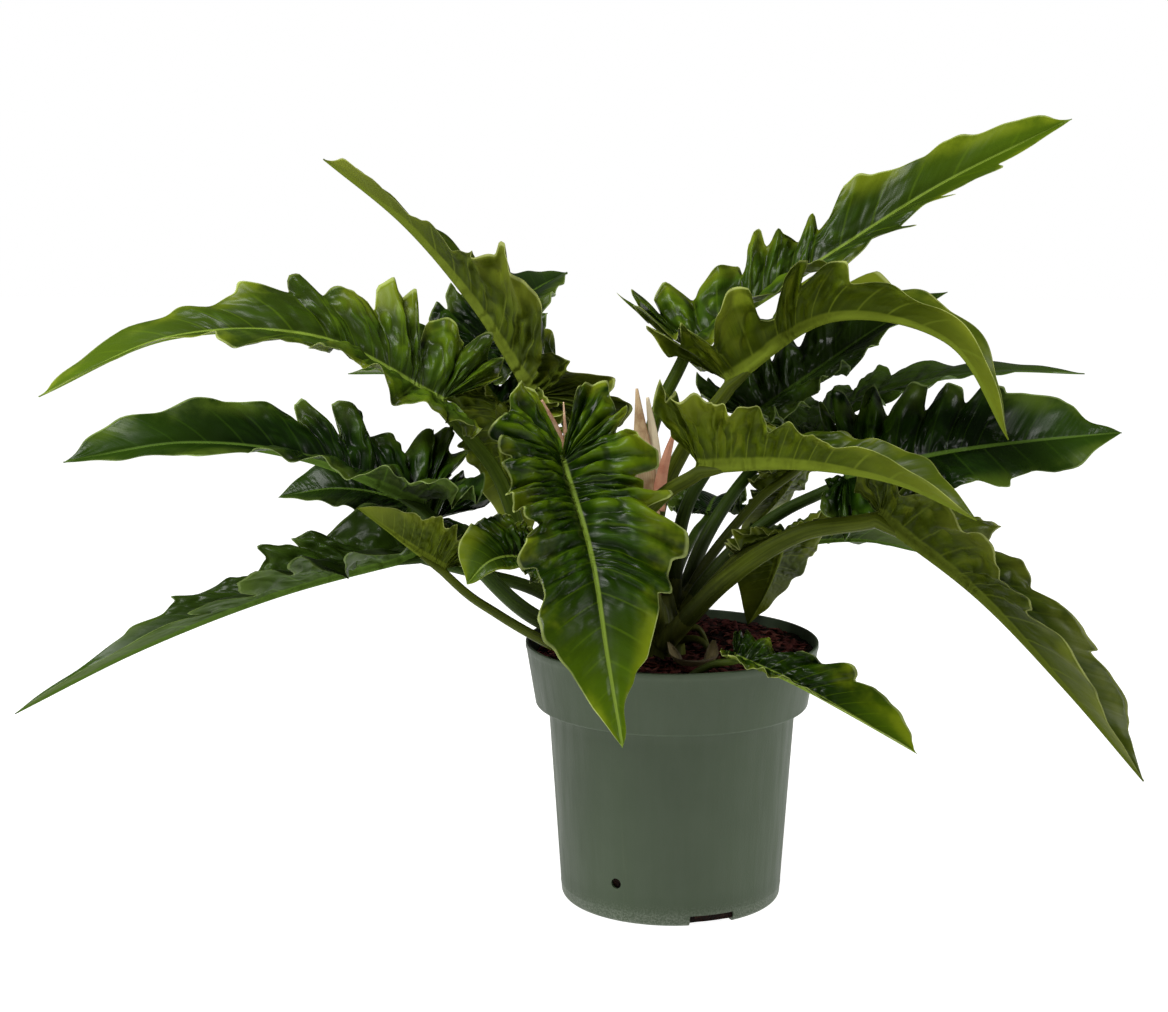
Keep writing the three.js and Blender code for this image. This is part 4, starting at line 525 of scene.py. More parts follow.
# Points of one blade half's middle surface: q goes along the margin, t out to it.
# Also gives each point's upward direction, place in waves, distance from the midrib,
# share of the midrib's length and relief.
def blade_points(leaf, path, side, q, t):
    x = smooth(MARGIN_X, q)
    margin_x = np.where(x < 0, x * leaf["back"], x * path.total)
    margin_y = np.maximum(smooth(MARGIN_Y, q), 0) * leaf["width"] / 2
    start = np.maximum(smooth(STARTS, q), 0) * path.total
    place, reach = margin_at(margin_points(leaf, side), q)
    power = np.clip(0.9 * reach / np.maximum(1 - reach, 0.01), 0, 3)
    u = t * (1 - (1 - reach) * t**power)
    flat_x = start + (margin_x - start) * u**1.15
    flat_y = margin_y * u
    share = np.clip(flat_x / path.total, 0, 1)
    at, across, normal = blade_frame(leaf, path, flat_x, side)
    fold = np.radians(mix(*leaf["fold"], share))
    curl = np.maximum(mix(*leaf["curl"], share), 1)
    bend = np.radians(curl) / (leaf["width"] / 2)
    slope = fold - bend * flat_y
    out = (np.sin(fold) - np.sin(slope)) / bend
    up = (np.cos(slope) - np.cos(fold)) / bend
    fade = 1 - 0.8 * smoothstep(q, *CALM)
    wave = -np.cos(2 * math.pi * place) + 0.8 * np.sin(2.3 * place + leaf["seed"] + side)
    waving = leaf["ruffle"] * fade * wave * t**1.7 * np.minimum(1, flat_y / WAVE_ROOM)
    relief = blade_relief(leaf, side, q, t, place, flat_y)
    lift = waving + relief
    above = normal * np.cos(slope)[..., None] - across * (side * np.sin(slope))[..., None]
    points = at + across * (side * out)[..., None] + normal * up[..., None] + above * lift[..., None]
    near = (1 - smoothstep(t, 0, 0.05))[..., None]
    above = unit(mix(above, normal, near))
    behind = np.where(q < FAN, flat_x - start, 0)
    return points, above, place, np.hypot(behind, flat_y), share, relief / PUFF


# Places along the margin, with every listed point and even steps between them
def margin_steps(leaf, side):
    stops = margin_points(leaf, side)[:, 0]
    parts = [[0.0]]
    for low, high in zip(stops[:-1], stops[1:]):
        step = MARGIN_STEP * max(1, USUAL_WIDTH / leaf["width"])
        if high < COARSE_ENDS[0] or low > COARSE_ENDS[1]:
            step = 2 * step
        steps = max(LEAST_STEPS, round((high - low) / step))
        parts.append(np.linspace(low, high, steps + 1)[1:])
    return np.concatenate(parts)[:, None]


def margin_start(q):
    """Where on the midrib a place of the margin begins, as a share of its length"""
    return np.maximum(smooth(STARTS, q), 0)


def half_blade(q, t):
    """Half the blade's thickness, less at the tip and at the margin"""
    tip = 1 - smoothstep(q, 0.97, 1)
    return (BLADE / 2 * mix(0.25, 1, tip) * mix(1, 0.6, smoothstep(t, 0.8, 1)))[..., None]


def face_data(leaf, side, place, t, rib, along, relief):
    """What the material reads at each point of a blade's face"""
    return np.stack([place, side * t, rib, along, relief, leaf["shade"] + 0 * t], -1)


def upper_face(leaf, path, side, q):
    t = np.array(SPREAD)[None, :] + 0 * q
    q = q + 0 * t
    middle, above, place, apart, along, relief = blade_points(leaf, path, side, q, t)
    start = margin_start(q)
    rib_width = mix(*RIB_WIDTH, start) * leaf["stalk"][1] / USUAL_STALK
    rib = np.exp(-((apart / rib_width) ** 2))
    rib_rise = (RIB_RISE * rib * mix(1, 0.15, start))[..., None]
    points = middle + above * (half_blade(q, t) + rib_rise)
    return points, face_data(leaf, side, place, t, rib, along, relief)


# The lower face: a round keel under the midrib, then the blade
def under_face(leaf, path, side, q):
    start = margin_start(q)
    radius = leaf["stalk"][1] * KEEL_SHARE * mix(1, 0.1, start**0.9)
    reach = blade_points(leaf, path, side, q, q * 0 + 1)[3]
    edge = np.minimum((0.55 * radius + 0.4) / np.maximum(reach, 1e-6), KEEL_EDGE)
    keel_t = edge * np.linspace(0, 1, KEEL_ROWS)
    blade_t = mix(edge, 1, np.linspace(0, 1, len(SPREAD) - KEEL_ROWS + 1)[1:] ** 0.85)
    t = np.concatenate([keel_t, blade_t], 1)
    points, above, place, _, along, relief = blade_points(leaf, path, side, q + 0 * t, t)
    points = points - above * half_blade(q, t)
    base, _, normal = (part[:, 0] for part in blade_frame(leaf, path, start * path.total, side))
    centre = base - normal * (KEEL_SINK * radius)
    corner = points[:, KEEL_ROWS - 1] - centre
    height = (corner * normal).sum(-1, keepdims=True)
    outward = corner - normal * height
    width = np.linalg.norm(outward, axis=-1, keepdims=True)
    outward = unit(outward)
    far = np.hypot(width, height)
    turn = math.pi - np.arctan2(width, height)
    for k in range(KEEL_ROWS - 1):
        share = k / (KEEL_ROWS - 1)
        size = mix(radius, far, share**4)
        angle = turn * share
        points[:, k] = centre + outward * size * np.sin(angle) - normal * size * np.cos(angle)
    keel = np.where(t <= edge + 1e-9, 1, np.exp(-(((t - edge) * reach) / 1.5) ** 2))
    return points, face_data(leaf, side, place, t, keel, along, relief)


# What the materials read at a mesh's corners; the first two make the map "leaf"
CORNER_DATA = ("place", "out", "rib", "along", "relief", "shade")


class Shape:
    """Collects points and faces of one mesh, with what its material reads at each corner"""

    def __init__(self):
        self.points = []
        self.data = []
        self.quads = []
        self.kinds = []
        self.count = 0

    def add(self, points, data=(0,)):
        """Adds an array of points and gives the array of their numbers"""
        points = np.asarray(points, float)
        size = int(np.prod(points.shape[:-1]))
        self.points.append(points.reshape(-1, 3))
        known = np.zeros(points.shape[:-1] + (len(CORNER_DATA),))
        known[..., :np.shape(data)[-1]] = data
        self.data.append(known.reshape(-1, len(CORNER_DATA)))
        numbers = np.arange(self.count, self.count + size).reshape(points.shape[:-1])
        self.count += size
        return numbers

    def grid(self, numbers, kind, flip=False):
        """Faces between the rows and columns of an array of numbers"""
        corners = [numbers[:-1, :-1], numbers[1:, :-1], numbers[1:, 1:], numbers[:-1, 1:]]
        if flip:
            corners[1], corners[3] = corners[3], corners[1]
        quads = np.stack([corner.ravel() for corner in corners], -1)
        self.quads.append(quads)
        self.kinds.append(np.full(len(quads), kind))

    def tube(self, centres, radii, sides, kind, lengths=0):
        """A round bar through centres, closed at both ends, with the length at each"""
        ahead = unit(np.gradient(centres, axis=0))
        across = unit(np.cross([0, 1, 0], ahead))
        up = np.cross(ahead, across)
        angle = np.linspace(0, 2 * math.pi, sides + 1)[None, :, None]
        ring = across[:, None] * np.cos(angle) + up[:, None] * np.sin(angle)
        points = centres[:, None] + ring * np.asarray(radii)[:, None, None]
        data = np.zeros(points.shape[:-1] + (2,))
        data[..., 0] = np.linspace(0, 1, sides + 1)
        data[..., 1] = np.reshape(lengths, (-1, 1)) / 100
        numbers = self.add(points, data)
        self.grid(numbers, kind, flip=True)
        for end, flip in ((0, False), (-1, True)):
            middle = self.add(centres[end][None, None], data[end, :1])
            spokes = np.broadcast_to(middle[0], numbers[end].shape)
            self.grid(np.stack([numbers[end], spokes]), kind, flip)

    def mesh(self, name):
        """The mesh in metres, with points at one place joined and empty faces left out"""
        points = np.concatenate(self.points) * MM
        data = np.concatenate(self.data)
        quads = np.concatenate(self.quads)
        kinds = np.concatenate(self.kinds)
        _, first, same = np.unique(np.round(points, 6), axis=0, return_index=True, return_inverse=True)
        merged = same.ravel()[quads]
        repeats = merged == np.roll(merged, -1, axis=1)
        crossed = (merged[:, 0] == merged[:, 2]) | (merged[:, 1] == merged[:, 3])
        whole = ~repeats.any(1) & ~crossed
        cut = (repeats.sum(1) == 1) & ~crossed
        keep = ~repeats[cut]
        triangles = merged[cut][keep].reshape(-1, 3)
        corners = np.concatenate([quads[whole].ravel(), quads[cut][keep]])
        faces = merged[whole].tolist() + triangles.tolist()
        mesh = bpy.data.meshes.new(name)
        mesh.from_pydata(points[first].tolist(), [], faces)
        mesh.polygons.foreach_set("material_index", np.concatenate([kinds[whole], kinds[cut]]))
        mesh.polygons.foreach_set("use_smooth", np.ones(len(faces), bool))
        layer = mesh.uv_layers.new(name="leaf")
        layer.uv.foreach_set("vector", data[corners, :2].astype(np.float32).ravel())
        for column in range(2, len(CORNER_DATA)):
            extra = mesh.attributes.new(CORNER_DATA[column], "FLOAT", "CORNER")
            extra.data.foreach_set("value", data[corners, column].astype(np.float32))
        mesh.update()
        mesh.validate()
        return mesh


def link(thing):
    bpy.context.scene.collection.objects.link(thing)


def place_piece(name, mesh, materials, node):
    piece = bpy.data.objects.new(name, mesh)
    link(piece)
    for material in materials:
        mesh.materials.append(material)
    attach(piece, "root")
    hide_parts(node)
    return piece


# Kinds of faces on a leaf, in the order of its materials
UPPER, UNDER, PETIOLE = 0, 1, 2


def add_blade(shape, leaf, path):
    for side in (-1, 1):
        q = margin_steps(leaf, side)
        high = shape.add(*upper_face(leaf, path, side, q))
        low = shape.add(*under_face(leaf, path, side, q))
        shape.grid(high, UPPER, flip=side < 0)
        shape.grid(low, UNDER, flip=side > 0)
        rim = np.stack([high[:, -1], low[:, -1]], -1)
        shape.grid(rim, UPPER, flip=side < 0)
        start = np.stack([high[0], np.broadcast_to(low[0, 0], high[0].shape)])
        shape.grid(start, UPPER, flip=side < 0)


def petiole_radii(leaf, path, distance):
    return mix(*leaf["stalk"], distance / path.total)


# The petiole from inside the crown's foot, bent into the midrib's keel
def add_petiole(shape, leaf, midrib):
    path = Path(leaf["petiole"])
    thick = leaf["stalk"][1]
    first = 0 if leaf["name"] == LONE_LEAF else 0.65 * STUB
    distance = np.linspace(first, path.total, PETIOLE_RINGS)
    radii = petiole_radii(leaf, path, distance)
    if first:
        radii = radii - 0.9 * (1 - smoothstep(distance, first, STUB))
    _, _, normal = blade_frame(leaf, midrib, np.array([0.0]), 1)
    below = -normal[0] * thick
    sink = 0.8 * smoothstep(distance / path.total, 0.72, 1) ** 0.8
    centres = path.at(distance) + below * sink[:, None]
    along = np.linspace(0, KNEE, KNEE_RINGS + 1)[1:]
    share = along / KNEE
    more = midrib.at(along) + below * mix(0.8, 0.5, share)[:, None]
    centres = np.concatenate([centres, more])
    radii = np.concatenate([radii, thick * mix(1, 0.5, share)])
    lengths = np.concatenate([distance, path.total + along])
    shape.tube(centres, radii, PETIOLE_SIDES, PETIOLE, lengths)


def make_leaf(leaf):
    shape = Shape()
    midrib = Path(leaf["midrib"])
    add_blade(shape, leaf, midrib)
    add_petiole(shape, leaf, midrib)
    return shape.mesh(leaf["name"])


# Gives a piece the mesh that its modifiers make, and takes them off
def apply_modifiers(piece):
    depsgraph = bpy.context.evaluated_depsgraph_get()
    old = piece.data
    mesh = bpy.data.meshes.new_from_object(piece.evaluated_get(depsgraph))
    piece.modifiers.clear()
    piece.data = mesh
    bpy.data.meshes.remove(old)
    mesh.name = piece.name


# The stems, roots and petiole feet, grown together
def make_crown():
    shape = Shape()
    for stem in STEMS:
        path = Path(stem["points"])
        distance = np.linspace(0, path.total, STEM_RINGS)
        radii = smooth(stem["radii"], distance / path.total)
        shape.tube(path.at(distance), radii, STEM_SIDES, 0)
    for leaf in LEAVES:
        if leaf["name"] != LONE_LEAF:
            path = Path(leaf["petiole"])
            distance = np.linspace(0, STUB, FOOT_RINGS)
            narrow = FOOT_SINK * smoothstep(distance, STUB - FOOT_FADE, STUB)
            radii = petiole_radii(leaf, path, distance) - narrow
            shape.tube(path.at(distance), radii, FOOT_SIDES, 0)
    return shape.mesh("stems")


def fuse(piece, size):
    remesh = piece.modifiers.new("fuse", "REMESH")
    remesh.mode = "VOXEL"
    remesh.voxel_size = size
    remesh.use_smooth_shade = True
    even = piece.modifiers.new("even", "SMOOTH")
    even.factor = 0.5
    even.iterations = 4
    apply_modifiers(piece)


# A pointed, rolled flap, thin at its edges, with a finely creased face
def add_flap(shape, flap, seed):
    path = Path(flap["points"])
    share = np.linspace(0, 1, FLAP_STEPS + 1)
    distance = share * path.total
    ahead = path.along(distance)
    hollow = np.array(flap["open"], float)
    depth = unit(hollow - ahead * (ahead @ hollow)[:, None])
    across = np.cross(ahead, depth)
    half = (smooth(flap["widths"], share) / 2)[:, None, None]
    place = np.linspace(-1, 1, FLAP_PLACES + 1)[None, :, None]
    angle = place * FLAP_BEND
    middle = path.at(distance)[:, None] + across[:, None] * half * np.sin(angle) / math.sin(FLAP_BEND)
    middle = middle - depth[:, None] * half * (np.cos(angle) - math.cos(FLAP_BEND))
    outward = across[:, None] * np.sin(angle) - depth[:, None] * np.cos(angle)
    crease = 0.35 * np.sin(9 * place + seed) * np.sin(math.pi * share)[:, None, None]
    crease = crease + 0.5 * np.sin(7 * share + seed)[:, None, None] * place**2
    thick = FLAP / 2 * (1 - 0.5 * place**4)
    data = np.stack(np.broadcast_arrays(place[..., 0], distance[:, None] / 100, flap["tint"]), -1)
    outer = shape.add(middle + outward * (crease + thick), data)
    inner = shape.add(middle + outward * (crease - thick), data)
    shape.grid(outer, 0)
    shape.grid(inner, 1, flip=True)
    for edge, flip in ((0, True), (-1, False)):
        shape.grid(np.stack([outer[:, edge], inner[:, edge]], -1), 0, flip)
        shape.grid(np.stack([outer[edge], inner[edge]]), 0, flip)


def make_sheath(sheath):
    shape = Shape()
    if "stalk" in sheath:
        path = Path(sheath["stalk"])
        distance = np.linspace(0, path.total, SHEATH_RINGS)
        radii = smooth(sheath["radii"], distance / path.total)
        shape.tube(path.at(distance), radii, SHEATH_SIDES, 2, distance)
    for seed, flap in enumerate(sheath["flaps"]):
        add_flap(shape, flap, seed)
    return shape.mesh(sheath["name"])


# Points of the pot's profile, as radius and height: a rounded edge, and a straight run
def arc(middle, radius, first, last, steps):
    turns = [math.radians(mix(first, last, i / steps)) for i in range(steps + 1)]
    return [(middle[0] + radius * math.cos(turn), middle[1] + radius * math.sin(turn))
            for turn in turns]


def straight(low, high, steps):
    return [(mix(low[0], high[0], i / steps), mix(low[1], high[1], i / steps))
            for i in range(steps + 1)]


# The pot's profile, up the outside and down the inside
def pot_profile():
    outside = [(0, 0), (60, 0), (FOOT_RADIUS - FOOT_ROUND, 0)]
    outside += arc((FOOT_RADIUS - FOOT_ROUND, FOOT_ROUND), FOOT_ROUND, -75, 0, 8)
    # A low moulding line where the foot meets the wall
    outside += [(FOOT_RADIUS + 0.5, 11.2), (FOOT_RADIUS + 0.75, 11.8), (FOOT_RADIUS + 0.55, 12.5)]
    outside += straight((FOOT_RADIUS, FOOT_ROUND), (NECK_RADIUS, COLLAR_FOOT), 14)[2:-1]
    outside += [(NECK_RADIUS - 0.2, COLLAR_FOOT - 2), (NECK_RADIUS + 0.8, COLLAR_FOOT)]
    outside += [(COLLAR_RADIUS - 3, COLLAR_FOOT)]
    corner = (COLLAR_RADIUS - COLLAR_ROUND, COLLAR_FOOT + COLLAR_ROUND)
    outside += arc(corner, COLLAR_ROUND, -70, 0, 6)
    outside += straight((COLLAR_RADIUS + 0.1, COLLAR_FOOT + 3), (RIM_RADIUS - 1, 220), 8)[1:]
    outside += [(RIM_RADIUS - 0.5, 222.5), (RIM_RADIUS, 223.5)]
    outside += arc((RIM_RADIUS - WALL / 2, POT_HEIGHT - WALL / 2), WALL / 2, 0, 180, 10)
    inside = [(RIM_RADIUS - WALL - 0.3, 222), (COLLAR_RADIUS - WALL, COLLAR_FOOT + WALL)]
    inside += [(NECK_RADIUS - WALL, COLLAR_FOOT + WALL), (FOOT_RADIUS - WALL, FLOOR), (0, FLOOR)]
    return np.array(outside + inside)


def make_pot():
    shape = Shape()
    radius, height = pot_profile().T[:, :, None]
    angle = np.linspace(0, 2 * math.pi, POT_SIDES + 1)
    points = np.broadcast_arrays(radius * np.sin(angle), -radius * np.cos(angle), height)
    shape.grid(shape.add(np.stack(points, -1)), 0, flip=True)
    return shape.mesh("nursery_pot")


# A prism through the wall, from an outline of width and height. Turn 0 is the front,
# and it grows to the right.
def cutter(outline, depth, height, turn):
    angle = math.radians(turn)
    sides = len(outline)
    points = []
    for y in (-depth / 2 - FOOT_RADIUS, depth / 2 - FOOT_RADIUS):
        for x, z in outline:
            points.append(((x * math.cos(angle) - y * math.sin(angle)) * MM,
                           (x * math.sin(angle) + y * math.cos(angle)) * MM, (z + height) * MM))
    faces = [tuple(range(sides)), tuple(reversed(range(sides, 2 * sides)))]
    for i in range(sides):
        following = (i + 1) % sides
        faces.append((i, i + sides, following + sides, following))
    mesh = bpy.data.meshes.new("cutter")
    mesh.from_pydata(points, [], faces)
    return bpy.data.objects.new("cutter", mesh)


# Notches in the foot and round holes above it, all cut through the wall
def cut_drains(pot):
    width, depth, height = NOTCH_SIZE
    notch = [(x * width / 2, z * height / 2) for x, z in ((-1, -1), (1, -1), (1, 1), (-1, 1))]
    hole = arc((0, 0), HOLE_RADIUS, 0, 360, HOLE_SIDES)[:-1]
    cutters = []
    for i in range(DRAIN_COUNT):
        step = 360 / DRAIN_COUNT * i
        cutters.append(cutter(notch, depth, 0, NOTCH_TURN + step))
        cutters.append(cutter(hole, HOLE_DEPTH, HOLE_HEIGHT, HOLE_TURN + step))
    for one in cutters:
        link(one)
        cut = pot.modifiers.new("drain", "BOOLEAN")
        cut.operation = "DIFFERENCE"
        cut.solver = "EXACT"
        cut.object = one
    apply_modifiers(pot)
    for one in cutters:
        bpy.data.meshes.remove(one.data)
    pot.data.set_sharp_from_angle(angle=math.radians(SHARP_EDGE))


# The potting mix: a plug with a rough top, under a layer of loose bark chips
def soil_height(x, y):
    bumps = np.sin(x / 5.1 + 1.3 * np.sin(y / 9)) * np.sin(y / 6.3 + 1.1 * np.sin(x / 11))
    swells = np.sin(x / 23 + 2) * np.cos(y / 19 + 1)
    heap = HEAP * smoothstep(0.8 * x + 0.6 * y, *HEAP_PLACE)
    return SOIL_TOP + heap + BARK_RELIEF * (0.55 * bumps + 0.45 * swells)


def make_soil():
    shape = Shape()
    gap = WALL + SOIL_GAP
    rim = mix(COLLAR_RADIUS, RIM_RADIUS, (SOIL_TOP - COLLAR_FOOT) / (POT_HEIGHT - COLLAR_FOOT)) - gap
    angle = np.linspace(0, 2 * math.pi, SOIL_SIDES + 1)
    top = np.linspace(0, rim, SOIL_RINGS)
    bottom = FLOOR + SOIL_GAP
    wall = [COLLAR_RADIUS - gap, NECK_RADIUS - gap, FOOT_RADIUS - gap, 0]
    radius = np.append(top, wall)[:, None]
    x = radius * np.cos(angle)
    y = radius * np.sin(angle)
    z = soil_height(x, y)
    z[len(top):] = np.array([COLLAR_FOOT + gap, COLLAR_FOOT + gap, bottom, bottom])[:, None]
    shape.grid(shape.add(np.stack([x, y, z], -1)), 0)
    add_chips(shape, rim)
    return shape.mesh("potting_mix")


def add_chips(shape, rim):
    random = np.random.default_rng(7)
    turns = np.linspace(0, 2 * math.pi, CHIP_SIDES + 1)
    for _ in range(CHIPS):
        length = random.uniform(*CHIP_LENGTHS)
        away = (rim - length / 2 - 1) * math.sqrt(random.uniform(0.0, 1))
        turn = random.uniform(0, 2 * math.pi)
        x = away * math.cos(turn)
        y = away * math.sin(turn)
        width = random.uniform(*CHIP_WIDTHS) * length + 1
        thick = random.uniform(*CHIP_THICKNESS)
        yaw = random.uniform(0, math.pi)
        tilt = random.normal(0, CHIP_TILT)
        lean = random.normal(0, CHIP_LEAN)
        ahead = np.array([math.cos(yaw) * math.cos(tilt), math.sin(yaw) * math.cos(tilt), math.sin(tilt)])
        across = np.array([-math.sin(yaw) * math.cos(lean), math.cos(yaw) * math.cos(lean), math.sin(lean)])
        across = unit(across - ahead * (across @ ahead))
        up = np.cross(ahead, across)
        middle = np.array([x, y, float(soil_height(x, y)) + random.uniform(*CHIP_RISE)])
        jitter = random.uniform(*CHIP_CORNERS, CHIP_SIDES)
        rings = []
        for along, size in CHIP_STATIONS:
            reach = jitter * random.uniform(*CHIP_WEAR, CHIP_SIDES)
            reach = np.append(reach, reach[0]) * size / 2
            sideways = across * (np.cos(turns) * width * reach)[:, None]
            upwards = up * (np.sin(turns) * thick * reach)[:, None]
            rings.append(middle + ahead * length * along + sideways + upwards)
        ends = [np.broadcast_to(ring[:-1].mean(0), ring.shape) for ring in (rings[0], rings[-1])]
        points = np.array([ends[0], *rings, ends[1]])
        shape.grid(shape.add(points, (0, 0, random.uniform())), 1, flip=True)


def tint(red, green, blue):
    """A colour for a shader from its screen values of 0 to 255"""
    def linear(value):
        value = value / 255
        return value / 12.92 if value <= 0.04045 else ((value + 0.055) / 1.055) ** 2.4

    return (linear(red), linear(green), linear(blue), 1)


class Recipe:
    """One material's nodes, made by short calls, and the colour painted so far"""

    def __init__(self, name):
        self.material = bpy.data.materials.new(name)
        self.material.use_nodes = True
        self.tree = self.material.node_tree
        self.shader = self.tree.nodes["Principled BSDF"]
        self.colour = None

    def put(self, socket, value):
        if isinstance(value, bpy.types.NodeSocket):
            self.tree.links.new(value, socket)
        else:
            socket.default_value = value

    def set(self, **values):
        """Sets inputs of the shader, or links a node's output to them"""
        for name, value in values.items():
            self.put(self.shader.inputs[name.replace("_", " ")], value)

    def node(self, kind, inputs, output=0, **settings):
        """A new node's output, from its inputs by number or name and its settings"""
        node = self.tree.nodes.new("ShaderNode" + kind)
        for name, value in settings.items():
            setattr(node, name, value)
        for socket, value in inputs.items():
            self.put(node.inputs[socket], value)
        return node.outputs[output]

    def maths(self, operation, *values):
        return self.node("Math", dict(enumerate(values)), operation=operation)

    def times(self, first, second):
        return self.maths("MULTIPLY", first, second)

    def step(self, value, low, high, first=0.0, last=1.0):
        """A smooth step of a value from first to last"""
        inputs = {"Value": value, "From Min": low, "From Max": high, "To Min": first, "To Max": last}
        return self.node("MapRange", inputs, interpolation_type="SMOOTHSTEP")

    def mix(self, share, first, second):
        return self.node("Mix", {0: share, 6: first, 7: second}, 2, data_type="RGBA")

    def paint(self, share, colour):
        """Mixes a share of a colour over what is painted so far"""
        self.colour = self.mix(share, self.colour, colour)

    def own(self):
        return self.node("TexCoord", {}, "Object")

    def leaf_map(self):
        """The two values of the leaf map"""
        return self.parts(self.node("UVMap", {}, uv_map="leaf"))[:2]

    def parts(self, vector):
        return self.node("SeparateXYZ", {0: vector}).node.outputs

    def joined(self, x, y, z=0.0):
        return self.node("CombineXYZ", {0: x, 1: y, 2: z})

    def value(self, name):
        return self.node("Attribute", {}, "Fac", attribute_name=name)

    def scaled(self, vector, scale):
        return self.node("Mapping", {"Vector": vector, "Scale": scale})

    def noise(self, vector, scale, detail, rough):
        inputs = {"Vector": vector, "Scale": scale, "Detail": detail, "Roughness": rough}
        return self.node("TexNoise", inputs)

    def cells(self, vector, scale):
        return self.node("TexVoronoi", {"Vector": vector, "Scale": scale}, "Distance")

    def bump(self, height, distance, strength):
        inputs = {"Height": height, "Distance": distance, "Strength": strength}
        self.set(Normal=self.node("Bump", inputs))


# Each leaf tone, deep, usual and light on each face; then its ribs, young edges, and
# rims with specks; and how rough the upper face is
TONES = {
    "bright": {"upper": [tint(14, 30, 1), tint(44, 72, 3), tint(82, 108, 8)],
               "under": [tint(56, 70, 18), tint(80, 94, 30), tint(112, 124, 58)],
               "rib": tint(112, 134, 44), "edge": tint(128, 142, 22), "rim": tint(168, 180, 104),
               "gloss": 0.26},
    "dark": {"upper": [tint(6, 18, 1), tint(22, 44, 3), tint(46, 72, 8)],
             "under": [tint(36, 52, 14), tint(54, 72, 24), tint(88, 104, 48)],
             "rib": tint(72, 98, 28), "edge": tint(82, 102, 28), "rim": tint(128, 146, 84),
             "gloss": 0.25},
    "olive": {"upper": [tint(40, 56, 3), tint(64, 82, 6), tint(92, 108, 18)],
              "under": [tint(50, 62, 2), tint(82, 98, 5), tint(118, 130, 30)],
              "rib": tint(98, 112, 26), "edge": tint(122, 132, 30), "rim": tint(172, 180, 104),
              "gloss": 0.32},
}
BLACK = tint(0, 0, 0)
# Stalks and the crown: usual, light and deep
STALKS = {
    "bright": [tint(54, 72, 8), tint(80, 98, 22), tint(36, 52, 4)],
    "dark": [tint(36, 54, 8), tint(58, 78, 18), tint(24, 38, 4)],
    "olive": [tint(54, 64, 6), tint(80, 90, 20), tint(36, 44, 2)],
}
CROWN_COLOURS = [tint(60, 66, 22), tint(84, 88, 34), tint(36, 40, 12)]
SHEATH_STALK = [tint(176, 128, 98), tint(204, 166, 134), tint(140, 88, 62)]
# Sheaths: usual, light and deep, and what their flaps may be tinted with
SHEATH_COLOURS = {
    "sheath_tan": [tint(190, 150, 104), tint(228, 206, 164), tint(140, 94, 52)],
    "sheath_pink": [tint(226, 178, 138), tint(244, 214, 180), tint(178, 118, 82)],
    "sheath_brown": [tint(92, 80, 44), tint(132, 118, 74), tint(58, 44, 24)],
}
CREAM = tint(238, 226, 192)
PINK = tint(196, 108, 88)
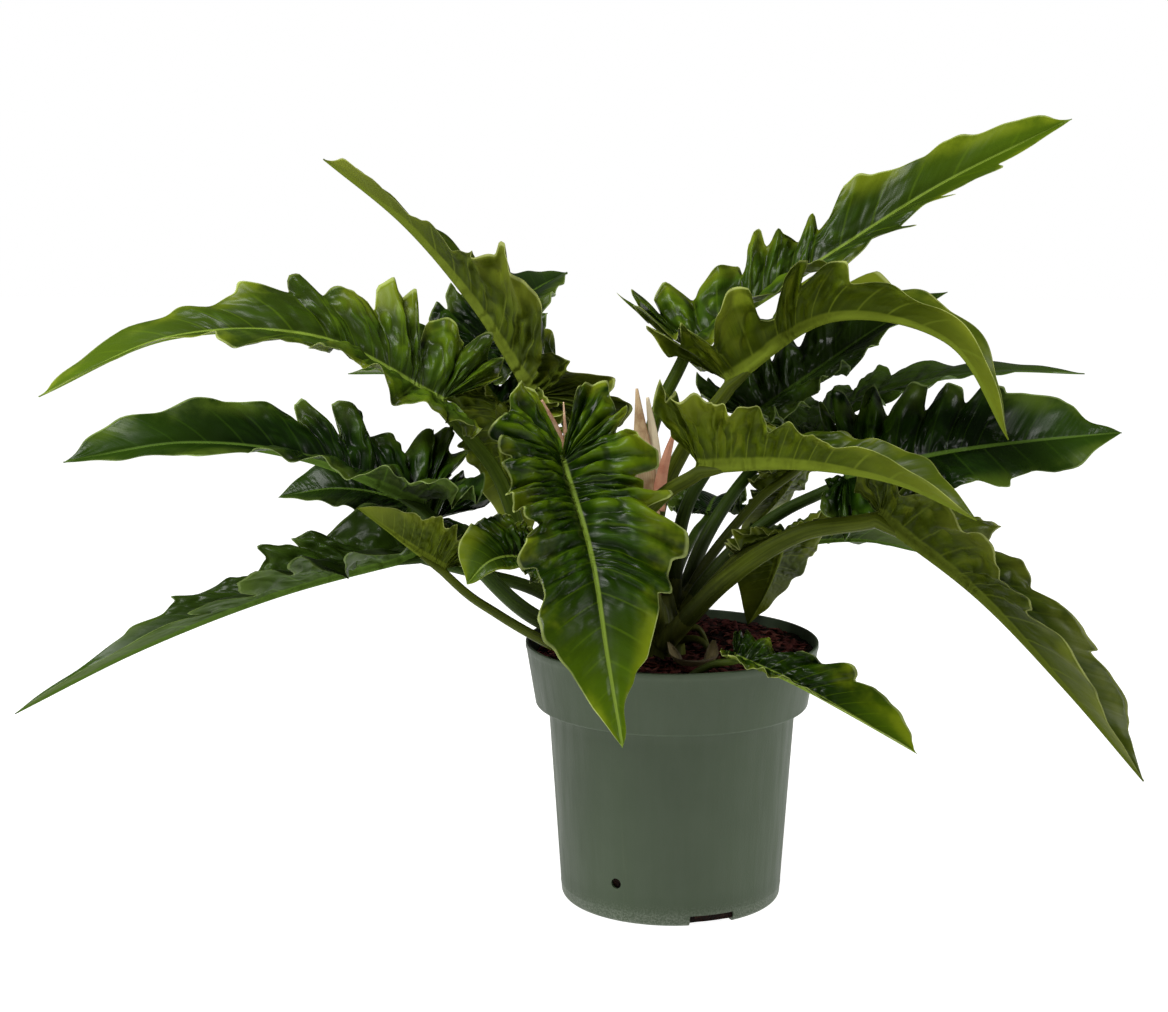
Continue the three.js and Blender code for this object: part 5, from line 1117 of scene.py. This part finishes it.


# A blade's face: streaks along the lateral veins, veins, painted light and shade on its relief, midrib,
# pale tip and margin
def leaf_face(tone, face):
    recipe = Recipe(f"leaf_{tone}_{face}")
    under = face == "under"
    colours = TONES[tone]
    deep, usual, light = colours[face]
    place, across = recipe.leaf_map()
    out = recipe.maths("ABSOLUTE", across)
    along = recipe.value("along")
    own = recipe.own()
    blotch = recipe.noise(own, 16, 4, 0.6)

    def streaks(narrow, *noise):
        return recipe.noise(recipe.joined(recipe.times(place, narrow), across), *noise)

    recipe.colour = recipe.mix(recipe.step(blotch, 0.25, 0.6), deep, usual)
    recipe.paint(recipe.step(streaks(5, 2.2, 5, 0.6), 0.5, 0.85, 0, 0.5), light)
    recipe.paint(recipe.step(streaks(26, 2.5, 3, 0.6), 0.35, 0.75, 0, 0.5), deep)
    # Painted highlight on the swollen ridges of the relief, and painted shade in the sunken veins
    relief = recipe.value("relief")
    recipe.paint(recipe.step(relief, 0.45, 1.1, 0, 0.75), light)
    recipe.paint(recipe.step(relief, -0.1, 0.45, 0.95, 0), deep)
    # Towards the base the tissue puckers into small cushions, with painted shade in the creases between
    # them
    cushion = recipe.noise(recipe.joined(recipe.times(place, 2), recipe.times(across, 2.2)), 1, 1, 0.4)
    pucker = recipe.times(recipe.maths("ABSOLUTE", recipe.maths("SUBTRACT", cushion, 0.5)), 5)
    pucker = recipe.step(pucker, 0, 1)
    base = recipe.step(along, 0.3, 0.7, 1, 0.05)
    recipe.paint(recipe.times(recipe.step(pucker, 0.0, 0.3, 0.7, 0), base), deep)
    # Towards the tip the blade is younger and paler
    recipe.paint(recipe.times(recipe.step(along, 0.45, 0.95), 0.6), light)
    # Lateral veins run out to the middle of each lobe
    twice = recipe.maths("FRACT", recipe.maths("MULTIPLY_ADD", place, 2, 0.5))
    vein = recipe.maths("ABSOLUTE", recipe.maths("SUBTRACT", twice, 0.5))
    line = recipe.times(recipe.step(vein, 0.01, 0.06, 1, 0), recipe.step(out, 0.55, 0.95, 1, 0))
    recipe.paint(recipe.times(line, 0.75 if under else 0.35), colours["rib"] if under else light)
    young = recipe.times(recipe.step(out, 0.5, 1), recipe.step(blotch, 0.42, 0.62))
    recipe.paint(recipe.times(young, 0.6), colours["edge"])
    # Pale specks, a thin pale rim and the midrib
    spot = recipe.step(recipe.cells(own, 60), 0.035, 0.05, 1, 0)
    some = recipe.step(recipe.noise(own, 31, 2, 0.5), 0.6, 0.65, 0, 0.5)
    recipe.paint(recipe.times(spot, some), colours["rim"])
    rim = recipe.times(recipe.step(out, 0.966, 0.988), recipe.step(blotch, 0.35, 0.6, 0.25, 0.8))
    recipe.paint(rim, colours["rim"])
    rib = recipe.step(recipe.value("rib"), 0.15, 0.6)
    recipe.paint(rib, colours["rib"])
    # The leaf's shade: darker above 0 and paler below, partly its own tone and partly painted
    # shade on leaves in shadow and painted light on leaves that show paler
    shade = recipe.value("shade")
    recipe.paint(recipe.times(shade, -1), colours["rib"])
    recipe.paint(shade, BLACK)
    gloss = colours["gloss"] + (0.16 if under else 0)
    rough = recipe.maths("ADD", recipe.step(blotch, 0.3, 0.7, gloss, gloss + 0.1), recipe.times(rib, 0.25))
    recipe.set(Base_Color=recipe.colour, Roughness=rough)
    recipe.set(Specular_IOR_Level=UNDER_SHINE if under else LEAF_SHINE)
    folds = recipe.times(pucker, recipe.times(base, 2.4 if under else 1.6))
    grain = recipe.times(streaks(8, 1.4, 1, 0.4), 0.22)
    recipe.bump(recipe.maths("ADD", grain, folds), 0.0025, 0.6)
    return recipe.material


# Petioles, mapped along their length, and stems: long streaks, darker near the crown
def stalk_face(name, usual, light, deep, mapped):
    recipe = Recipe(name)
    own = recipe.own()
    if mapped:
        turn, along = recipe.leaf_map()
        angle = recipe.times(turn, 2 * math.pi)
        around = recipe.joined(recipe.maths("COSINE", angle), recipe.maths("SINE", angle),
                               recipe.times(along, 0.35))
        streak = recipe.noise(around, 4.5, 4, 0.6)
    else:
        streak = recipe.noise(recipe.scaled(own, (1, 1, 0.15)), 180, 4, 0.6)
    blotch = recipe.noise(own, 26, 3, 0.6)
    recipe.colour = recipe.mix(recipe.step(streak, 0.35, 0.7), usual, light)
    recipe.paint(recipe.step(blotch, 0.4, 0.75, 0, 0.5), deep)
    if mapped:
        recipe.paint(recipe.times(recipe.step(along, 0.4, 1.5, 1, 0), 0.75), CROWN_COLOURS[2])
    recipe.paint(recipe.step(recipe.noise(own, 420, 2, 0.5), 0.68, 0.74, 0, 0.5), light)
    recipe.set(Base_Color=recipe.colour, Roughness=recipe.step(blotch, 0.3, 0.7, 0.36, 0.52))
    recipe.set(Specular_IOR_Level=STALK_SHINE)
    recipe.bump(streak, 0.0012, 0.5)
    return recipe.material


def sheath_face(name):
    usual, light, deep = SHEATH_COLOURS[name]
    recipe = Recipe(name)
    across, along = recipe.leaf_map()
    threads = recipe.joined(recipe.times(across, 9), recipe.times(along, 1.2))
    streak = recipe.noise(threads, 3, 5, 0.65)
    blotch = recipe.noise(recipe.own(), 60, 4, 0.6)
    recipe.colour = recipe.mix(recipe.step(streak, 0.3, 0.7), usual, light)
    recipe.paint(recipe.step(blotch, 0.45, 0.75, 0, 0.8), deep)
    flap_tint = recipe.value("rib")
    recipe.paint(recipe.times(flap_tint, 0.7), CREAM)
    recipe.paint(recipe.times(flap_tint, -0.6), PINK)
    recipe.paint(recipe.step(recipe.maths("ABSOLUTE", across), 0.7, 0.95, 0, 0.7), deep)
    recipe.set(Base_Color=recipe.colour, Roughness=recipe.step(streak, 0.2, 0.8, 0.55, 0.8))
    recipe.bump(streak, 0.0009, 0.8)
    return recipe.material


def pot_face():
    recipe = Recipe("pot_plastic")
    own = recipe.own()
    cloud = recipe.noise(own, 9, 4, 0.6)
    grain = recipe.noise(own, 700, 3, 0.6)
    scuff = recipe.noise(recipe.scaled(own, (1, 1, 0.08)), 90, 4, 0.7)
    recipe.colour = recipe.mix(recipe.step(cloud, 0.3, 0.7), tint(55, 68, 47), tint(60, 73, 52))
    recipe.paint(recipe.step(scuff, 0.55, 0.8, 0, 0.25), tint(78, 88, 68))
    # Dust low on the wall
    height = recipe.parts(own)[2]
    low = recipe.times(recipe.step(height, 0.0, 0.022, 1, 0), recipe.step(grain, 0.4, 0.65))
    recipe.paint(recipe.times(low, 0.5), tint(128, 134, 120))
    recipe.set(Base_Color=recipe.colour, Roughness=recipe.step(scuff, 0.3, 0.75, 0.46, 0.62))
    recipe.set(Specular_IOR_Level=POT_SHINE)
    recipe.bump(recipe.maths("ADD", grain, recipe.times(scuff, 1.5)), 0.00025, 0.6)
    return recipe.material


def soil_face():
    recipe = Recipe("potting_mix")
    own = recipe.own()
    crumbs = recipe.cells(own, 420)
    clods = recipe.noise(own, 150, 5, 0.7)
    recipe.colour = recipe.mix(recipe.step(clods, 0.35, 0.65), tint(20, 12, 10), tint(52, 32, 24))
    recipe.paint(recipe.step(crumbs, 0.25, 0.6, 0, 0.6), tint(14, 9, 8))
    recipe.set(Base_Color=recipe.colour, Roughness=recipe.step(clods, 0.3, 0.7, 0.8, 0.98))
    recipe.set(Specular_IOR_Level=BARK_SHINE)
    recipe.bump(recipe.maths("SUBTRACT", clods, crumbs), 0.004, 0.9)
    return recipe.material


# Bark: each chip has its own share of red, brown and pale wood
def bark_face():
    recipe = Recipe("bark_chips")
    choice = recipe.value("rib")
    grain = recipe.noise(recipe.scaled(recipe.own(), (1, 1, 0.5)), 260, 5, 0.7)
    recipe.colour = recipe.mix(recipe.step(choice, 0.0, 0.5), tint(34, 14, 13), tint(68, 28, 25))
    recipe.paint(recipe.step(choice, 0.7, 1.0, 0, 0.8), tint(108, 62, 52))
    recipe.paint(recipe.step(grain, 0.45, 0.75, 0, 0.7), tint(30, 16, 14))
    recipe.set(Base_Color=recipe.colour, Roughness=recipe.step(grain, 0.3, 0.7, 0.65, 0.9))
    recipe.set(Specular_IOR_Level=BARK_SHINE)
    recipe.bump(grain, 0.0015, 0.8)
    return recipe.material


def floor_face():
    recipe = Recipe("studio_floor")
    soft = recipe.noise(recipe.own(), 0.8, 3, 0.5)
    colour = recipe.mix(recipe.step(soft, 0.3, 0.7), tint(178, 178, 176), tint(184, 184, 182))
    recipe.set(Base_Color=colour, Roughness=0.9, Specular_IOR_Level=0.0)
    recipe.set(Emission_Color=(1, 1, 1, 1), Emission_Strength=FLOOR_GLOW)
    return recipe.material


def add_leaves():
    faces = {}
    for tone in TONES:
        faces[tone] = [leaf_face(tone, "upper"), leaf_face(tone, "under"),
                       stalk_face(f"petiole_{tone}", *STALKS[tone], True)]
    for leaf in LEAVES:
        name, tone = leaf["name"], leaf["tone"]
        place_piece("green_" + name, make_leaf(leaf), faces[tone], name)


def add_crown():
    crown = place_piece("green_crown", make_crown(), [], "crown")
    fuse(crown, SKIN_CELL * MM)
    crown.data.materials.append(stalk_face("crown_stems", *CROWN_COLOURS, False))


def add_sheaths():
    faces = {name: sheath_face(name) for name in SHEATH_COLOURS}
    stalk = stalk_face("sheath_stalk", *SHEATH_STALK, True)
    for sheath in SHEATHS:
        name, face = sheath["name"], faces[sheath["face"]]
        place_piece("dry_" + name, make_sheath(sheath), [face, face, stalk], name)


def add_pot():
    pot = place_piece("nursery_pot", make_pot(), [pot_face()], "pot")
    cut_drains(pot)


def add_soil():
    place_piece("potting_mix", make_soil(), [soil_face(), bark_face()], "soil")


def add_floor():
    axis = np.linspace(-FLOOR_REACH, FLOOR_REACH, FLOOR_STEPS + 1)
    points = [(x, y, 0) for x in axis for y in axis]
    faces = []
    for i in range(FLOOR_STEPS):
        for j in range(FLOOR_STEPS):
            near = i * (FLOOR_STEPS + 1) + j
            far = near + FLOOR_STEPS + 1
            faces.append((near, far, far + 1, near + 1))
    mesh = bpy.data.meshes.new("floor")
    mesh.from_pydata(points, [], faces)
    mesh.materials.append(floor_face())
    floor = bpy.data.objects.new("floor", mesh)
    link(floor)


# The backdrop is as pale as the floor, and lights the plant less than it shows
def add_backdrop():
    world = bpy.data.worlds.new("studio")
    world.use_nodes = True
    tree = world.node_tree
    ground = tree.nodes["Background"]
    ground.inputs["Color"].default_value = (1, 1, 1, 1)
    rays = tree.nodes.new("ShaderNodeLightPath")
    strength = tree.nodes.new("ShaderNodeMapRange")
    strength.inputs["To Min"].default_value = WORLD_LIGHT
    strength.inputs["To Max"].default_value = BACKDROP
    tree.links.new(rays.outputs["Is Camera Ray"], strength.inputs["Value"])
    tree.links.new(strength.outputs[0], ground.inputs["Strength"])
    bpy.context.scene.world = world


def add_lamp(name, place, size, power):
    light = bpy.data.lights.new(name, "AREA")
    light.shape = "RECTANGLE"
    light.size, light.size_y = size
    light.energy = power
    lamp = bpy.data.objects.new(name, light)
    lamp.location = place
    ahead = np.array(AIM) - np.array(place)
    tilt = math.acos(-ahead[2] / np.linalg.norm(ahead))
    lamp.rotation_euler = (tilt, 0, math.atan2(ahead[1], ahead[0]) - math.pi / 2)
    link(lamp)


def add_camera():
    camera = bpy.data.objects.new("camera", bpy.data.cameras.new("camera"))
    camera.location = CAMERA_PLACE
    camera.rotation_euler = CAMERA_TURN
    camera.data.sensor_fit = "HORIZONTAL"
    camera.data.sensor_width = SENSOR_WIDTH
    camera.data.lens = CAMERA_LENS
    link(camera)
    bpy.context.scene.camera = camera


add_floor()
add_backdrop()
for name, lamp in LAMPS.items():
    add_lamp(name, *lamp)
add_camera()
bpy.context.scene.view_settings.view_transform = "Standard"
add_pot()
add_soil()
add_crown()
add_sheaths()
add_leaves()
